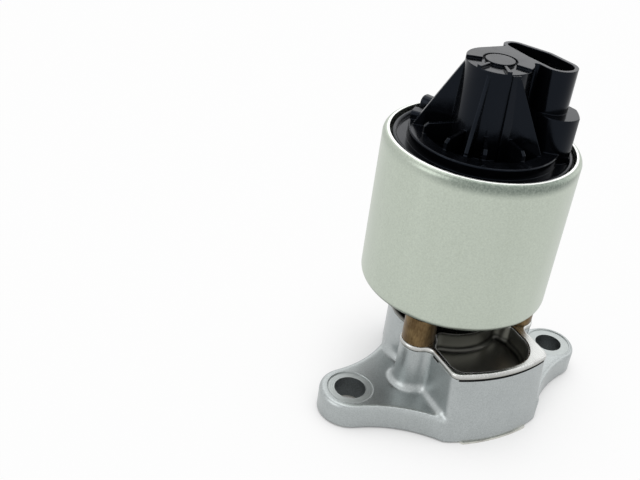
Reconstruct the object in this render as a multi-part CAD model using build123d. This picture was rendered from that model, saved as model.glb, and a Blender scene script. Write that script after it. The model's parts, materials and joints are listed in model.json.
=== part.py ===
from build123d import *
import math
import os

# Linear exhaust gas recirculation valve, in millimetres, +Z up the stem.
# The origin is midway between the two mounting holes on the underside of the base gasket,
# +X runs to the smaller ear and +Y to the rear lobe under the solenoid.

# ---------------------------------------------------------------- mounting flange and gasket
BOLT_SPACING = 80.0         # between the two mounting holes
LEFT_HOLE_R = 5.1           # open hole of the locating ear
RIGHT_HOLE_R = 4.55         # close hole of the other ear
LEFT_EAR_R = 10.0
RIGHT_EAR_R = 9.0
FLANGE_T = 8.1
FLANGE_EDGE_R = 1.3         # cast rounding along the flange's upper edge
FLANGE_LOBE_R = 10.2        # rear lobe of the flange, under the body's own lobe
FRONT_FLANK_R = 42.0        # concave flanks from the block's corners to the ears
REAR_FLANK_R = 38.0         # concave flanks from the ears to the rear lobe
SPOT_FACE_R = 7.4
SPOT_FACE_DEPTH = 0.3

GASKET_T = 0.6
GASKET_EAR_R = 8.5
GASKET_CORNER_X = 12.0
GASKET_FRONT_Y = 28.4
GASKET_CROWN = 1.2
GASKET_LOBE_R = 11.0
GASKET_FLANK_R = 42.0
GASKET_HOLE_EXTRA = 0.1
GASKET_BEAD_W = 1.5         # embossed bead round each port
GASKET_BEAD_H = 0.25

# ---------------------------------------------------------------- base casting
STEM_Y = 12.0               # valve stem, behind the line of the mounting holes
CASTING_H = 23.7            # underside to the seat of the shield plate
POST_OVERHANG = 1.4         # the front columns' axes stand this far outside the chamber block's walls
BLOCK_FRONT_FOOT_Y = 28.0   # crown of the block's front at its foot
BLOCK_FRONT_TOP_Y = 25.7    # crown of the block's front at its top, after the casting draft
BLOCK_CROWN = 3.4           # how far the front bows out from its corners
BLOCK_FOOT_CORNER_R = 1.2
BLOCK_TOP_CORNER_R = 3.0
BARREL_R = 18.8             # round barrel about the stem
LOBE_LEAD = 5.3             # the rear lobe's centre is this far forward of its column
LOBE_R = 11.6
POST_WALL_GAP = 4.7         # from the can's bore to the axes of the two front standoff columns
POST_ANGLE = 36.5           # the front columns stand this many degrees forward of the stem
REAR_POST_GAP = 10.3        # from the can's bore to the axis of the third column, in the rear lobe
COLUMN_R = 5.5
BLEND_R = 2.6               # concave blends between columns, block and barrel
FOOT_STEPS = ((1.3, 12.0), (0.9, 35.0), (0.6, 62.0))   # height and slope of the flared foot, downwards
FOOT_MARGIN = 1.3           # the foot ends this far inside the flange's edge
CHAMBER_FLOOR_T = 9.0
CHAMBER_ROOF_T = 6.6        # deck that carries the stem bushing
CHAMBER_WALL = 3.6
CHAMBER_R = 13.0
INLET_R = 8.35
OUTLET_R = 10.0
OUTLET_Y = -13.06
OUTLET_MARGIN = 0.3         # chamber wall beyond the outlet's edge
RELIEF_H = 0.65             # shallow step along the front of the seat, under the shield plate
RELIEF_D = 0.55
RELIEF_HALF_W = 14.8
NOTCH_Y = -11.7             # short notch in the left wall at the same level
NOTCH_W = 3.2

# ---------------------------------------------------------------- shield plate and its gasket
COVER_GASKET_T = 0.3
COVER_GASKET_INSET = 0.55
PLATE_T = 1.4
PLATE_GROW = 0.15           # the plate overhangs the casting by this
PLATE_EDGE_R = 0.75
BOWL_DEPTH = 7.0
BOWL_SHEET_T = 0.6
BOWL_SIDE_LAND = 2.45       # flat land beside the bowl's rim, at the middle of its shift
BOWL_FRONT_LAND = 1.8       # and in front of it
BOWL_SHIFT_X = -0.75        # the bowl sits a little to the left
BOWL_LEFT_CORNER_R = 4.5
BOWL_RIGHT_CORNER_R = 11.0
BOWL_REAR_R = 17.4          # rear wall of the bowl, round the stem
BOWL_POST_RADII = (6.4, 6.2)    # the bowl keeps this far from the left and the right column's axis
BOWL_CORNER_R = 2.4         # least rounding of the bowl's corners
BOWL_SLOPE = 4.5            # draft of its walls in degrees
BOWL_FLOOR_R = 2.0
BOWL_RIM_R = 0.6
BOWL_CLEARANCE = 0.1        # between the bowl and the casting

# ---------------------------------------------------------------- standoffs
STANDOFF_L = 10.1
STANDOFF_R = 5.3
STANDOFF_CHAMFER = 0.25
SCREW_R = 2.5
SCREW_HOLE_EXTRA = 0.3
SCREW_HEAD_R = 4.4
SCREW_HEAD_H = 4.0
SCREW_HEAD_SINK = 0.6       # the heads stay this far above the casting's underside
HEAD_POCKET_EXTRA = 0.4
SOCKET_AF = 4.0
SOCKET_DEPTH = 2.2

# ---------------------------------------------------------------- solenoid can
CAN_R = 30.6
CAN_WALL = 2.0
CAN_H = 51.6
CAN_FLOOR_T = 2.0
CAN_FLOOR_R = 2.4           # drawn radius at the bottom
CAN_LIP_W = 0.1             # flat left on the lip inside its rounded shoulder
CAN_STEM_HOLE_R = 4.0
FIT = 0.2                   # loose assembly gap inside the can
SKETCH_GAP = 0.05           # closeness for picking out an edge by its place

# ---------------------------------------------------------------- solenoid internals
STEM_R = 2.0
STEM_CLEARANCE = 0.04
SLIDE_CLEARANCE = 0.06
SEAT_R = 9.0
SEAT_BORE_R = 6.0
SEAT_H = 4.6
SEAT_CHAMFER = 1.2
SEAT_GAP = 0.05
PINTLE_RIM_H = 1.4
PINTLE_NECK_R = 6.0
LIFT = 4.5
LIFT_MARGIN = 0.3           # left between the neck and the bushing at full lift
BUSHING_R = 6.0
BUSHING_FLANGE_R = 8.4
BUSHING_FLANGE_T = 1.6
POLE_DISC_T = 5.0
POLE_TUBE_T = 3.1
LOWER_POLE_TUBE_H = 7.0
UPPER_POLE_TUBE_H = 10.0
POLE_TIP_T = 1.2
ARMATURE_R = 9.0
ARMATURE_H = 17.5
ARMATURE_DROP = 2.4         # armature underside above the lower pole's disc
ARMATURE_GAP = 6.0          # to the upper pole, more than the lift
SPRING_POCKET_R = 5.8
SPRING_POCKET_DEPTH = 3.0
POLE_POCKET_DEPTH = 4.0
SLEEVE_T = 0.8
BOBBIN_T = 1.2
BOBBIN_FLANGE_T = 1.6
BOBBIN_CAN_GAP = 1.2        # between the bobbin's flanges and the can
COIL_CAN_GAP = 3.0          # between the winding and the can
SPRING_R = 4.7
SPRING_WIRE_R = 0.55
SPRING_TURNS = 6
WIRE_SIDES = 8              # the hidden springs' wire is drawn with flats
CLIP_R = 3.4
CLIP_T = 0.9

# ---------------------------------------------------------------- sensor cap
CAP_DROP = 2.1              # flange of the cap below the can's lip
CAP_DISC_T = 4.0
CAP_CLEARANCE = 0.5         # between the cap's flange and the can
CAP_BEAD_INSET = 1.1        # raised bead in from the flange's edge
CAP_BEAD_W = 1.5
CAP_BEAD_H = 1.3
DECK_INSET = 5.0            # deck's edge in from the flange's edge
DECK_H = 3.3
DECK_EDGE_R = 0.4
DECK_RIM_W = 4.6            # width of the deck round its pocket
TOWER_TOP_R = 10.0
TOWER_FOOT_R = 10.9
TOWER_H = 24.1              # above the deck
TOWER_BORE_R = 7.4
TOWER_ROOF_T = 3.0
RIB_T = 1.1
RIB_H = 3.4                 # low ribs above the deck
RIB_OVERLAP = 0.8
LOW_RIB_ANGLES = (165.0, 200.0, 236.0, 272.0)
RIDGE_ANGLES = (236.0, 272.0)   # low ribs that run on over the deck as a ridge
RIDGE_H = 0.5
RIDGE_INSET = 0.3           # the ridges end this far inside the deck's edge
GUSSET_T = 1.2
GUSSET_TOP_DROP = 1.8       # gusset tops below the tower's top
# direction in degrees and distance of the foot inside the deck's edge, of each tall gusset
GUSSETS = ((147.0, 1.5), (219.0, 5.5))
PILASTER_ANGLE = 264.0      # upright strip down the tower's front
PILASTER_W = 2.8
PILASTER_TOP_OUT = 0.8      # it stands this far out of the tower at its top
PILASTER_FOOT_OUT = 1.2     # and at its foot
PILASTER_DROP = 1.0         # its top below the tower's top
SIDE_GUSSET_ANGLE = 328.0   # the third gusset leaves the strip's right edge in this direction
SIDE_GUSSET_REACH = 10.6    # to its foot on the deck
SIDE_GUSSET_ROOT = 3.0      # part of it inside the tower
TOP_PAD_R = 4.4             # plain pad in the middle of the tower's top
TOP_GROOVE_W = 0.8          # groove round the pad
TOP_RELIEF = 0.8            # depth of the groove and of the recesses outside it
TOP_RECESSES = (172.0, 225.0, 278.0)   # directions of the recesses, open to the tower's side
TOP_RECESS_SPAN = 45.0      # degrees each
LUG_W = 5.0
# direction in degrees, length, distance inside the deck's edge and height above it, of each lug
LUGS = ((133.0, 4.2, 0.2, 2.6), (114.0, 3.8, 0.4, 5.0))
PEDESTAL_H = 10.7           # connector pedestal above the deck
PEDESTAL_INSET = 1.8        # its outer wall in from the flange's edge
PEDESTAL_END_R = 7.0
PEDESTAL_FRONT = (17.2, -10.2)   # centres of its two round ends, from the stem
PEDESTAL_REAR = (12.8, 12.6)
SHELL_FRONT = (16.2, -7.2)       # centres of the connector shell's round parts, from the stem
SHELL_MIDDLE = (15.0, 0.7)
SHELL_REAR = (12.4, 9.8)
SHELL_FRONT_R = 5.5
SHELL_MIDDLE_R = 5.6
SHELL_REAR_R = 3.7
SHELL_WALL = 1.25
SHELL_DEPTH = 12.0
WEB_BACK_Y = 10.0           # web between tower and connector, from the stem
WEB_FRONT_Y = -4.6
WEB_NOTCH_Y = -6.6
WEB_X = 13.6
WEB_NOTCH_X = 9.6
SEAL_WIRE_R = 0.85
SEAL_GAP = 0.05             # between the seal and the can
SEAL_GROOVE_W = 2.0

# ---------------------------------------------------------------- sensor internals
PLUNGER_R = 1.5
PLUNGER_HOLE_EXTRA = 0.4
CARRIAGE_W = 7.0
CARRIAGE_D = 7.6
CARRIAGE_H = 6.0
CARRIAGE_RISE = 8.2         # carriage underside above the cap's flange
SENSOR_SPRING_R = 2.5
SENSOR_WIRE_R = 0.3
SENSOR_TURNS = 7
BOARD_X = 5.1               # element board, from the stem
BOARD_T = 1.0
BOARD_W = 7.6
BOARD_RISE = 1.0
BOARD_TOP_GAP = 1.2
FINGER_T = 0.25
FINGER_W = 1.4
FINGER_PITCH = 3.2
FINGER_GAP = 0.05
TERMINAL_COUNT = 5
TERMINAL_PITCH = 3.3
TERMINAL_W = 1.5
TERMINAL_T = 0.64
TERMINAL_RISE = 7.0
TERMINAL_ROOT = 4.0
TERMINAL_TIP = 0.2

# ---------------------------------------------------------------- levels worked out from them
Z_BASE = GASKET_T
Z_EAR = Z_BASE + FLANGE_T
Z_FLOOR = Z_BASE + CHAMBER_FLOOR_T
Z_SEAT = Z_BASE + CASTING_H
Z_ROOF = Z_SEAT - CHAMBER_ROOF_T
Z_PLATE = Z_SEAT + COVER_GASKET_T
Z_PLATE_TOP = Z_PLATE + PLATE_T
Z_BOWL = Z_PLATE_TOP - BOWL_DEPTH
Z_CAN = Z_PLATE_TOP + STANDOFF_L
Z_CAN_FLOOR = Z_CAN + CAN_FLOOR_T
Z_LIP = Z_CAN + CAN_H
Z_CAP_FLANGE = Z_LIP - CAP_DROP
Z_CAP = Z_CAP_FLANGE - CAP_DISC_T
Z_DECK = Z_CAP_FLANGE + DECK_H
Z_TOWER = Z_DECK + TOWER_H
Z_TOWER_ROOF = Z_TOWER - TOWER_ROOF_T
Z_PEDESTAL = Z_DECK + PEDESTAL_H
Z_SHELL_FLOOR = Z_TOWER - SHELL_DEPTH
Z_LOWER_POLE = Z_CAN_FLOOR + POLE_DISC_T
Z_UPPER_POLE = Z_CAP - POLE_DISC_T
Z_ARMATURE = Z_LOWER_POLE + ARMATURE_DROP
Z_ARMATURE_TOP = Z_ARMATURE + ARMATURE_H
Z_POLE_TIP = Z_ARMATURE_TOP + ARMATURE_GAP
Z_SPRING = Z_ARMATURE_TOP - SPRING_POCKET_DEPTH
Z_SPRING_TOP = Z_POLE_TIP + POLE_POCKET_DEPTH
Z_CARRIAGE = Z_CAP_FLANGE + CARRIAGE_RISE
Z_SEAT_RING = Z_FLOOR - SEAT_H + 0.6

CAN_BORE_R = CAN_R - CAN_WALL
CAN_SHOULDER_R = CAN_WALL - CAN_LIP_W
SLEEVE_BORE_R = ARMATURE_R + SLIDE_CLEARANCE
SLEEVE_R = SLEEVE_BORE_R + SLEEVE_T
POLE_TUBE_R = SLEEVE_R + POLE_TUBE_T
BOBBIN_BORE_R = POLE_TUBE_R + FIT
BOBBIN_TUBE_R = BOBBIN_BORE_R + BOBBIN_T
BOBBIN_FLANGE_R = CAN_BORE_R - BOBBIN_CAN_GAP
COIL_R = CAN_BORE_R - COIL_CAN_GAP
CAP_R = CAN_BORE_R - CAP_CLEARANCE
CAP_BEAD_R = CAP_R - CAP_BEAD_INSET
DECK_R = CAP_R - DECK_INSET
POCKET_R = DECK_R - DECK_RIM_W
PEDESTAL_R = CAP_R - PEDESTAL_INSET
SEAL_R = CAN_BORE_R - SEAL_GAP - SEAL_WIRE_R
POST_CIRCLE_R = CAN_BORE_R - POST_WALL_GAP
POST_X = POST_CIRCLE_R * math.cos(math.radians(POST_ANGLE))
POST_Y = STEM_Y - POST_CIRCLE_R * math.sin(math.radians(POST_ANGLE))
REAR_POST_Y = STEM_Y + CAN_BORE_R - REAR_POST_GAP
POSTS = ((-POST_X, POST_Y), (POST_X, POST_Y), (0.0, REAR_POST_Y))
LOBE_Y = REAR_POST_Y - LOBE_LEAD
BLOCK_HALF_W = POST_X - POST_OVERHANG
BOWL_HALF_W = BLOCK_HALF_W - BOWL_SIDE_LAND
BOWL_FRONT_Y = BLOCK_FRONT_TOP_Y - BOWL_FRONT_LAND
POST_NAMES = ("standoff_left", "standoff_right", "standoff_rear")
STEM = Pos(0, STEM_Y, 0)
UP = (Align.CENTER, Align.CENTER, Align.MIN)


def disc(radius, z_low, z_high):
    """A plain cylinder about the Z axis between two levels."""
    return Pos(0, 0, z_low) * Cylinder(radius, z_high - z_low, align=UP)


def ring(outer_r, inner_r, z_low, z_high):
    """A tube about the Z axis between two levels."""
    return disc(outer_r, z_low, z_high) - disc(inner_r, z_low, z_high)


def at_points(points, solid):
    """The same solid at each plan point."""
    return [Pos(x, y, 0) * solid for x, y in points]


def spring(radius, wire_r, turns, z_low, z_high):
    """An open coil spring about the Z axis, its wire inside the two levels."""
    height = z_high - z_low - 2 * wire_r
    path = Helix(pitch=height / turns, height=height, radius=radius)
    section = Plane(origin=path @ 0, z_dir=path % 0) * RegularPolygon(wire_r, WIRE_SIDES)
    return Pos(0, 0, z_low + wire_r) * sweep(section, path=path, is_frenet=True)


# ---------------------------------------------------------------- outlines
def circles_meet(centre_a, radius_a, centre_b, radius_b, turn):
    """Where two circles cross, on the side of the line between their centres that turn gives."""
    ax, ay = centre_a
    dx, dy = centre_b[0] - ax, centre_b[1] - ay
    span = math.hypot(dx, dy)
    along = (span**2 + radius_a**2 - radius_b**2) / (2 * span)
    across = turn * math.sqrt(radius_a**2 - along**2)
    return (ax + (dx * along - dy * across) / span, ay + (dy * along + dx * across) / span)


def towards(centre, target, distance):
    """The point at a distance from a centre towards a target."""
    dx, dy = target[0] - centre[0], target[1] - centre[1]
    span = math.hypot(dx, dy)
    return (centre[0] + dx * distance / span, centre[1] + dy * distance / span)


def midpoint(start, end):
    """The point halfway between two points."""
    return ((start[0] + end[0]) / 2, (start[1] + end[1]) / 2)


def eared_face(ear_radii, corner_x, front_y, crown, front_flank_r, lobe_r, rear_flank_r):
    """A two-eared outline: bowed front, concave flanks tangent to the ears, round rear lobe."""
    lobe = (0, LOBE_Y)
    marks = {}
    for side, ear_r in zip((-1, 1), ear_radii):
        ear = (side * BOLT_SPACING / 2, 0)
        corner = (side * corner_x, crown - front_y)
        front_c = circles_meet(ear, ear_r + front_flank_r, corner, front_flank_r, side)
        rear_c = circles_meet(ear, ear_r + rear_flank_r, lobe, lobe_r + rear_flank_r, -side)
        front_join = towards(ear, front_c, ear_r)
        rear_join = towards(ear, rear_c, ear_r)
        lobe_join = towards(lobe, rear_c, lobe_r)
        marks[side] = {
            "corner": corner,
            "front waist": towards(front_c, midpoint(corner, front_join), front_flank_r),
            "front": front_join,
            "end": (ear[0] + side * ear_r, 0),
            "back": rear_join,
            "rear waist": towards(rear_c, midpoint(rear_join, lobe_join), rear_flank_r),
            "lobe": lobe_join,
        }
    left, right = marks[-1], marks[1]
    return make_face([
        ThreePointArc(left["corner"], (0, -front_y), right["corner"]),
        ThreePointArc(right["corner"], right["front waist"], right["front"]),
        ThreePointArc(right["front"], right["end"], right["back"]),
        ThreePointArc(right["back"], right["rear waist"], right["lobe"]),
        ThreePointArc(right["lobe"], (0, LOBE_Y + lobe_r), left["lobe"]),
        ThreePointArc(left["lobe"], left["rear waist"], left["back"]),
        ThreePointArc(left["back"], left["end"], left["front"]),
        ThreePointArc(left["front"], left["front waist"], left["corner"]),
    ])


def d_face(half_w, front_y, corner_radii):
    """A D-shaped outline, its front bowed, its corners rounded left and right."""
    corner_y = BLOCK_CROWN - front_y
    face = make_face([
        Line((-half_w, 0), (-half_w, corner_y)),
        ThreePointArc((-half_w, corner_y), (0, -front_y), (half_w, corner_y)),
        Line((half_w, corner_y), (half_w, 0)),
        Line((half_w, 0), (-half_w, 0)),
    ])
    for side, radius in zip((-1, 1), corner_radii):
        corner = face.vertices().sort_by_distance((side * half_w, corner_y))[0]
        face = fillet(corner, radius)
    return face


def body_face(grow=0.0):
    """Plan of the casting's top: block, barrel, rear lobe and columns, blended where they meet."""
    corner_r = BLOCK_TOP_CORNER_R + grow
    outline = STEM * Circle(BARREL_R + grow)
    outline += Pos(0, LOBE_Y) * Circle(LOBE_R + grow)
    for x, y in POSTS[:2]:
        outline += Pos(x, y) * Circle(COLUMN_R + grow)
    outline += d_face(BLOCK_HALF_W + grow, BLOCK_FRONT_TOP_Y + grow, (corner_r, corner_r))
    outline = offset(offset(outline, BLEND_R, kind=Kind.ARC), -BLEND_R, kind=Kind.ARC)
    return outline


def bowl_face(grow=0.0):
    """Plan of the dished bowl, between the block's front, the columns and the bowl's rear wall."""
    radii = (BOWL_LEFT_CORNER_R + grow, BOWL_RIGHT_CORNER_R + grow)
    outline = Pos(BOWL_SHIFT_X, 0) * d_face(BOWL_HALF_W + grow, BOWL_FRONT_Y + grow, radii)
    outline -= STEM * Circle(BOWL_REAR_R - grow)
    for (x, y), radius in zip(POSTS, BOWL_POST_RADII):
        outline -= Pos(x, y) * Circle(radius - grow)
    corner_r = BOWL_CORNER_R + grow
    return offset(offset(outline, -corner_r, kind=Kind.ARC), corner_r, kind=Kind.ARC)


# ---------------------------------------------------------------- gas side
def make_base_gasket():
    outline = eared_face((GASKET_EAR_R, GASKET_EAR_R), GASKET_CORNER_X, GASKET_FRONT_Y, GASKET_CROWN,
                         GASKET_FLANK_R, GASKET_LOBE_R, GASKET_FLANK_R)
    sheet = extrude(outline, GASKET_T)
    bolt_x = BOLT_SPACING / 2
    sheet -= Pos(-bolt_x, 0) * disc(LEFT_HOLE_R + GASKET_HOLE_EXTRA, 0, GASKET_T)
    sheet -= Pos(bolt_x, 0) * disc(RIGHT_HOLE_R + GASKET_HOLE_EXTRA, 0, GASKET_T)
    for y, radius in ((STEM_Y, INLET_R), (OUTLET_Y, OUTLET_R)):
        hole_r = radius + GASKET_HOLE_EXTRA
        sheet -= Pos(0, y) * disc(hole_r, 0, GASKET_T)
        groove = ring(hole_r + 2 * GASKET_BEAD_W, hole_r + GASKET_BEAD_W, GASKET_T - GASKET_BEAD_H, GASKET_T)
        sheet -= Pos(0, y) * groove
    return sheet


def flange_face(inset=0.0):
    """Outline of the cast flange, or the same outline a little way in from its edge."""
    radii = (LEFT_EAR_R - inset, RIGHT_EAR_R - inset)
    return eared_face(radii, BLOCK_HALF_W - inset, BLOCK_FRONT_FOOT_Y - inset, BLOCK_CROWN,
                      FRONT_FLANK_R + inset, FLANGE_LOBE_R - inset, REAR_FLANK_R + inset)


def make_foot():
    """The flared foot that blends the body into the flange, kept inside the flange's edge."""
    level = Z_EAR + sum(height for height, _ in FOOT_STEPS)
    section = Pos(0, 0, level) * body_face()
    foot = None
    for height, slope in FOOT_STEPS:
        step = extrude(section, amount=height, dir=(0, 0, -1), taper=-slope)
        section = step.faces().sort_by(Axis.Z)[0]
        foot = step if foot is None else foot + step
    return foot & extrude(Pos(0, 0, Z_EAR) * flange_face(FOOT_MARGIN), level - Z_EAR)


def make_base_casting():
    flange = extrude(Pos(0, 0, Z_BASE) * flange_face(), FLANGE_T)
    front = Box(2 * BLOCK_HALF_W, BLOCK_FRONT_FOOT_Y, FLANGE_T, align=(Align.CENTER, Align.MAX, Align.MIN))
    flange -= Pos(0, 0, Z_BASE) * front
    flange = fillet(flange.edges().group_by(Axis.Z)[-1].filter_by(GeomType.CIRCLE), FLANGE_EDGE_R)
    foot_r, top_r = BLOCK_FOOT_CORNER_R, BLOCK_TOP_CORNER_R
    block = loft([
        Pos(0, 0, Z_BASE) * d_face(BLOCK_HALF_W, BLOCK_FRONT_FOOT_Y, (foot_r, foot_r)),
        Pos(0, 0, Z_SEAT) * d_face(BLOCK_HALF_W, BLOCK_FRONT_TOP_Y, (top_r, top_r)),
    ])
    body = extrude(Pos(0, 0, Z_BASE) * body_face(), CASTING_H)
    casting = flange + block + body + make_foot() - seat_relief()

    # gas chamber, the opening for the bowl, and the ports
    chamber_front = OUTLET_R - OUTLET_Y + OUTLET_MARGIN
    chamber = d_face(BLOCK_HALF_W - CHAMBER_WALL, chamber_front, (BLOCK_TOP_CORNER_R, BLOCK_TOP_CORNER_R))
    chamber = extrude(Pos(0, 0, Z_FLOOR) * chamber, Z_ROOF - Z_FLOOR)
    chamber += STEM * disc(CHAMBER_R, Z_FLOOR, Z_ROOF)
    casting -= chamber
    casting -= bowl_solid(BOWL_SHEET_T + BOWL_CLEARANCE, Z_PLATE, Z_PLATE - Z_ROOF)
    casting -= Pos(0, OUTLET_Y) * disc(OUTLET_R, Z_BASE, Z_FLOOR)
    casting -= STEM * disc(INLET_R, Z_BASE, Z_SEAT_RING)
    casting -= STEM * disc(SEAT_R, Z_SEAT_RING, Z_FLOOR)
    casting -= STEM * disc(BUSHING_R, Z_ROOF, Z_SEAT)

    # mounting holes with their spot faces
    bolt_x = BOLT_SPACING / 2
    for x, radius in ((-bolt_x, LEFT_HOLE_R), (bolt_x, RIGHT_HOLE_R)):
        casting -= Pos(x, 0) * disc(radius, Z_BASE, Z_EAR)
        casting -= Pos(x, 0) * disc(SPOT_FACE_R, Z_EAR - SPOT_FACE_DEPTH, Z_EAR)

    # screw holes through the columns, counterbored from below
    pocket_top = Z_BASE + SCREW_HEAD_SINK + SCREW_HEAD_H
    screw_hole = disc(SCREW_R + SCREW_HOLE_EXTRA, Z_BASE, Z_SEAT)
    screw_hole += disc(SCREW_HEAD_R + HEAD_POCKET_EXTRA, Z_BASE, pocket_top)
    for hole in at_points(POSTS, screw_hole):
        casting -= hole
    return casting


def seat_relief():
    """The step along the front of the seat and the short notch in the left wall."""
    strip = Rectangle(2 * RELIEF_HALF_W, BLOCK_FRONT_FOOT_Y, align=(Align.CENTER, Align.MAX))
    strip -= d_face(BLOCK_HALF_W, BLOCK_FRONT_TOP_Y - RELIEF_D, (BLOCK_TOP_CORNER_R, BLOCK_TOP_CORNER_R))
    strip += Pos(-BLOCK_HALF_W, NOTCH_Y) * Rectangle(2 * RELIEF_D, NOTCH_W)
    return extrude(Pos(0, 0, Z_SEAT - RELIEF_H) * strip, RELIEF_H)


def make_valve_seat():
    seat = ring(SEAT_R, SEAT_BORE_R, Z_SEAT_RING, Z_SEAT_RING + SEAT_H)
    cone_low = Z_SEAT_RING + SEAT_H - SEAT_CHAMFER
    seat -= Pos(0, 0, cone_low) * Cone(SEAT_BORE_R, SEAT_BORE_R + SEAT_CHAMFER, SEAT_CHAMFER, align=UP)
    return STEM * seat


def make_pintle():
    """The poppet: a coned rim on the seat, a neck that curves into the long stem."""
    seat_top = Z_SEAT_RING + SEAT_H
    cone_low = seat_top - SEAT_CHAMFER
    low_r = SEAT_BORE_R - SEAT_GAP
    rim_r = low_r + SEAT_CHAMFER
    rim_top = seat_top + PINTLE_RIM_H
    neck_top = Z_ROOF - LIFT - LIFT_MARGIN
    profile = make_face([
        Line((0, cone_low), (low_r, cone_low)),
        Line((low_r, cone_low), (rim_r, seat_top)),
        Line((rim_r, seat_top), (rim_r, rim_top)),
        RadiusArc((rim_r, rim_top), (STEM_R, neck_top), PINTLE_NECK_R),
        Line((STEM_R, neck_top), (STEM_R, Z_ARMATURE_TOP)),
        Line((STEM_R, Z_ARMATURE_TOP), (0, Z_ARMATURE_TOP)),
        Line((0, Z_ARMATURE_TOP), (0, cone_low)),
    ])
    return STEM * revolve(Plane.XZ * profile, Axis.Z)


def make_stem_bushing():
    bushing = disc(BUSHING_R, Z_ROOF, Z_PLATE_TOP)
    bushing += disc(BUSHING_FLANGE_R, Z_PLATE_TOP, Z_PLATE_TOP + BUSHING_FLANGE_T)
    bushing = chamfer(bushing.edges().sort_by(Axis.Z)[-1], BUSHING_FLANGE_T / 3)
    bushing -= disc(STEM_R + STEM_CLEARANCE, Z_ROOF, Z_PLATE_TOP + BUSHING_FLANGE_T)
    return STEM * bushing


def make_cover_gasket():
    sheet = extrude(Pos(0, 0, Z_SEAT) * body_face(-COVER_GASKET_INSET), COVER_GASKET_T)
    sheet -= extrude(Pos(0, 0, Z_SEAT) * bowl_face(BOWL_SHEET_T + BOWL_CLEARANCE), COVER_GASKET_T)
    return cut_posts_and_stem(sheet, Z_SEAT, Z_PLATE)


def cut_posts_and_stem(sheet, z_low, z_high):
    """Clear the screws and the stem bushing through a sheet."""
    sheet -= STEM * disc(BUSHING_R, z_low, z_high)
    for hole in at_points(POSTS, disc(SCREW_R + SCREW_HOLE_EXTRA, z_low, z_high)):
        sheet -= hole
    return sheet


def make_gas_shield_plate():
    """Pressed cover: flat seat for the standoffs, turned edge, and the dished bowl in front."""
    plate = extrude(Pos(0, 0, Z_PLATE) * body_face(PLATE_GROW), PLATE_T)
    plate = fillet(plate.edges().group_by(Axis.Z)[-1], PLATE_EDGE_R)
    shell = bowl_solid(BOWL_SHEET_T, Z_PLATE, Z_PLATE - Z_BOWL + BOWL_SHEET_T)
    plate += fillet(shell.edges().group_by(Axis.Z)[0], BOWL_FLOOR_R)
    pocket = bowl_solid(0.0, Z_PLATE_TOP, BOWL_DEPTH)
    plate -= fillet(pocket.edges().group_by(Axis.Z)[0], BOWL_FLOOR_R)
    bowl = bowl_face().faces()[0]
    edges = plate.edges().group_by(Axis.Z)[-1]
    rim = [edge for edge in edges if bowl.distance_to(plan_of(edge)) < SKETCH_GAP]
    plate = fillet(rim, BOWL_RIM_R)
    return cut_posts_and_stem(plate, Z_PLATE, Z_PLATE_TOP)


def plan_of(edge):
    """The middle of an edge, dropped to the ground."""
    middle = edge @ 0.5
    return Vector(middle.X, middle.Y, 0)


def bowl_solid(grow, z_top, depth):
    """The bowl's form below a level, narrowing with its draft."""
    return extrude(Pos(0, 0, z_top) * bowl_face(grow), amount=depth, dir=(0, 0, -1), taper=BOWL_SLOPE)


def make_standoff():
    sleeve = disc(STANDOFF_R, Z_PLATE_TOP, Z_CAN)
    sleeve = chamfer(sleeve.edges(), STANDOFF_CHAMFER)
    return sleeve - disc(SCREW_R + SCREW_HOLE_EXTRA, Z_PLATE_TOP, Z_CAN)


def make_standoff_screws():
    head_low = Z_BASE + SCREW_HEAD_SINK
    head_top = head_low + SCREW_HEAD_H
    screw = disc(SCREW_HEAD_R, head_low, head_top)
    screw = fillet(screw.edges().sort_by(Axis.Z)[0], SCREW_HEAD_H / 4)
    screw += disc(SCREW_R, head_top, Z_LOWER_POLE - 1)
    socket = extrude(Pos(0, 0, head_low) * RegularPolygon(SOCKET_AF / 2, 6, major_radius=False), SOCKET_DEPTH)
    return Compound(children=at_points(POSTS, screw - socket))


# ---------------------------------------------------------------- solenoid
def make_solenoid_can():
    can = disc(CAN_R, Z_CAN, Z_LIP)
    can = fillet(can.edges().sort_by(Axis.Z)[0], CAN_FLOOR_R)
    can = fillet(can.edges().sort_by(Axis.Z)[-1], CAN_SHOULDER_R)
    can -= disc(CAN_BORE_R, Z_CAN_FLOOR, Z_LIP)
    can -= disc(CAN_STEM_HOLE_R, Z_CAN, Z_CAN_FLOOR)
    can = STEM * can
    for hole in at_points(POSTS, disc(SCREW_R + SCREW_HOLE_EXTRA, Z_CAN, Z_CAN_FLOOR)):
        can -= hole
    return can


def make_lower_pole_piece():
    pole = disc(CAN_BORE_R - FIT, Z_CAN_FLOOR, Z_LOWER_POLE)
    tube_top = Z_LOWER_POLE + LOWER_POLE_TUBE_H
    pole += disc(POLE_TUBE_R, Z_LOWER_POLE, tube_top - POLE_TIP_T * 2)
    tip = Cone(POLE_TUBE_R, SLEEVE_R + POLE_TIP_T, POLE_TIP_T * 2, align=UP)
    pole += Pos(0, 0, tube_top - POLE_TIP_T * 2) * tip
    pole -= disc(SLEEVE_R, Z_CAN_FLOOR, tube_top)
    pole = STEM * pole
    for hole in at_points(POSTS, disc(SCREW_R, Z_CAN_FLOOR, Z_LOWER_POLE)):
        pole -= hole
    return pole


def make_upper_pole_piece():
    pole = disc(CAN_BORE_R - FIT, Z_UPPER_POLE, Z_CAP)
    pole += ring(POLE_TUBE_R, SLEEVE_R, Z_UPPER_POLE - UPPER_POLE_TUBE_H, Z_UPPER_POLE)
    pole += disc(SLEEVE_BORE_R, Z_POLE_TIP, Z_UPPER_POLE)
    pole -= disc(SPRING_POCKET_R, Z_POLE_TIP, Z_SPRING_TOP)
    pole -= disc(PLUNGER_R + PLUNGER_HOLE_EXTRA, Z_POLE_TIP, Z_CAP)
    return STEM * pole


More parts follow.
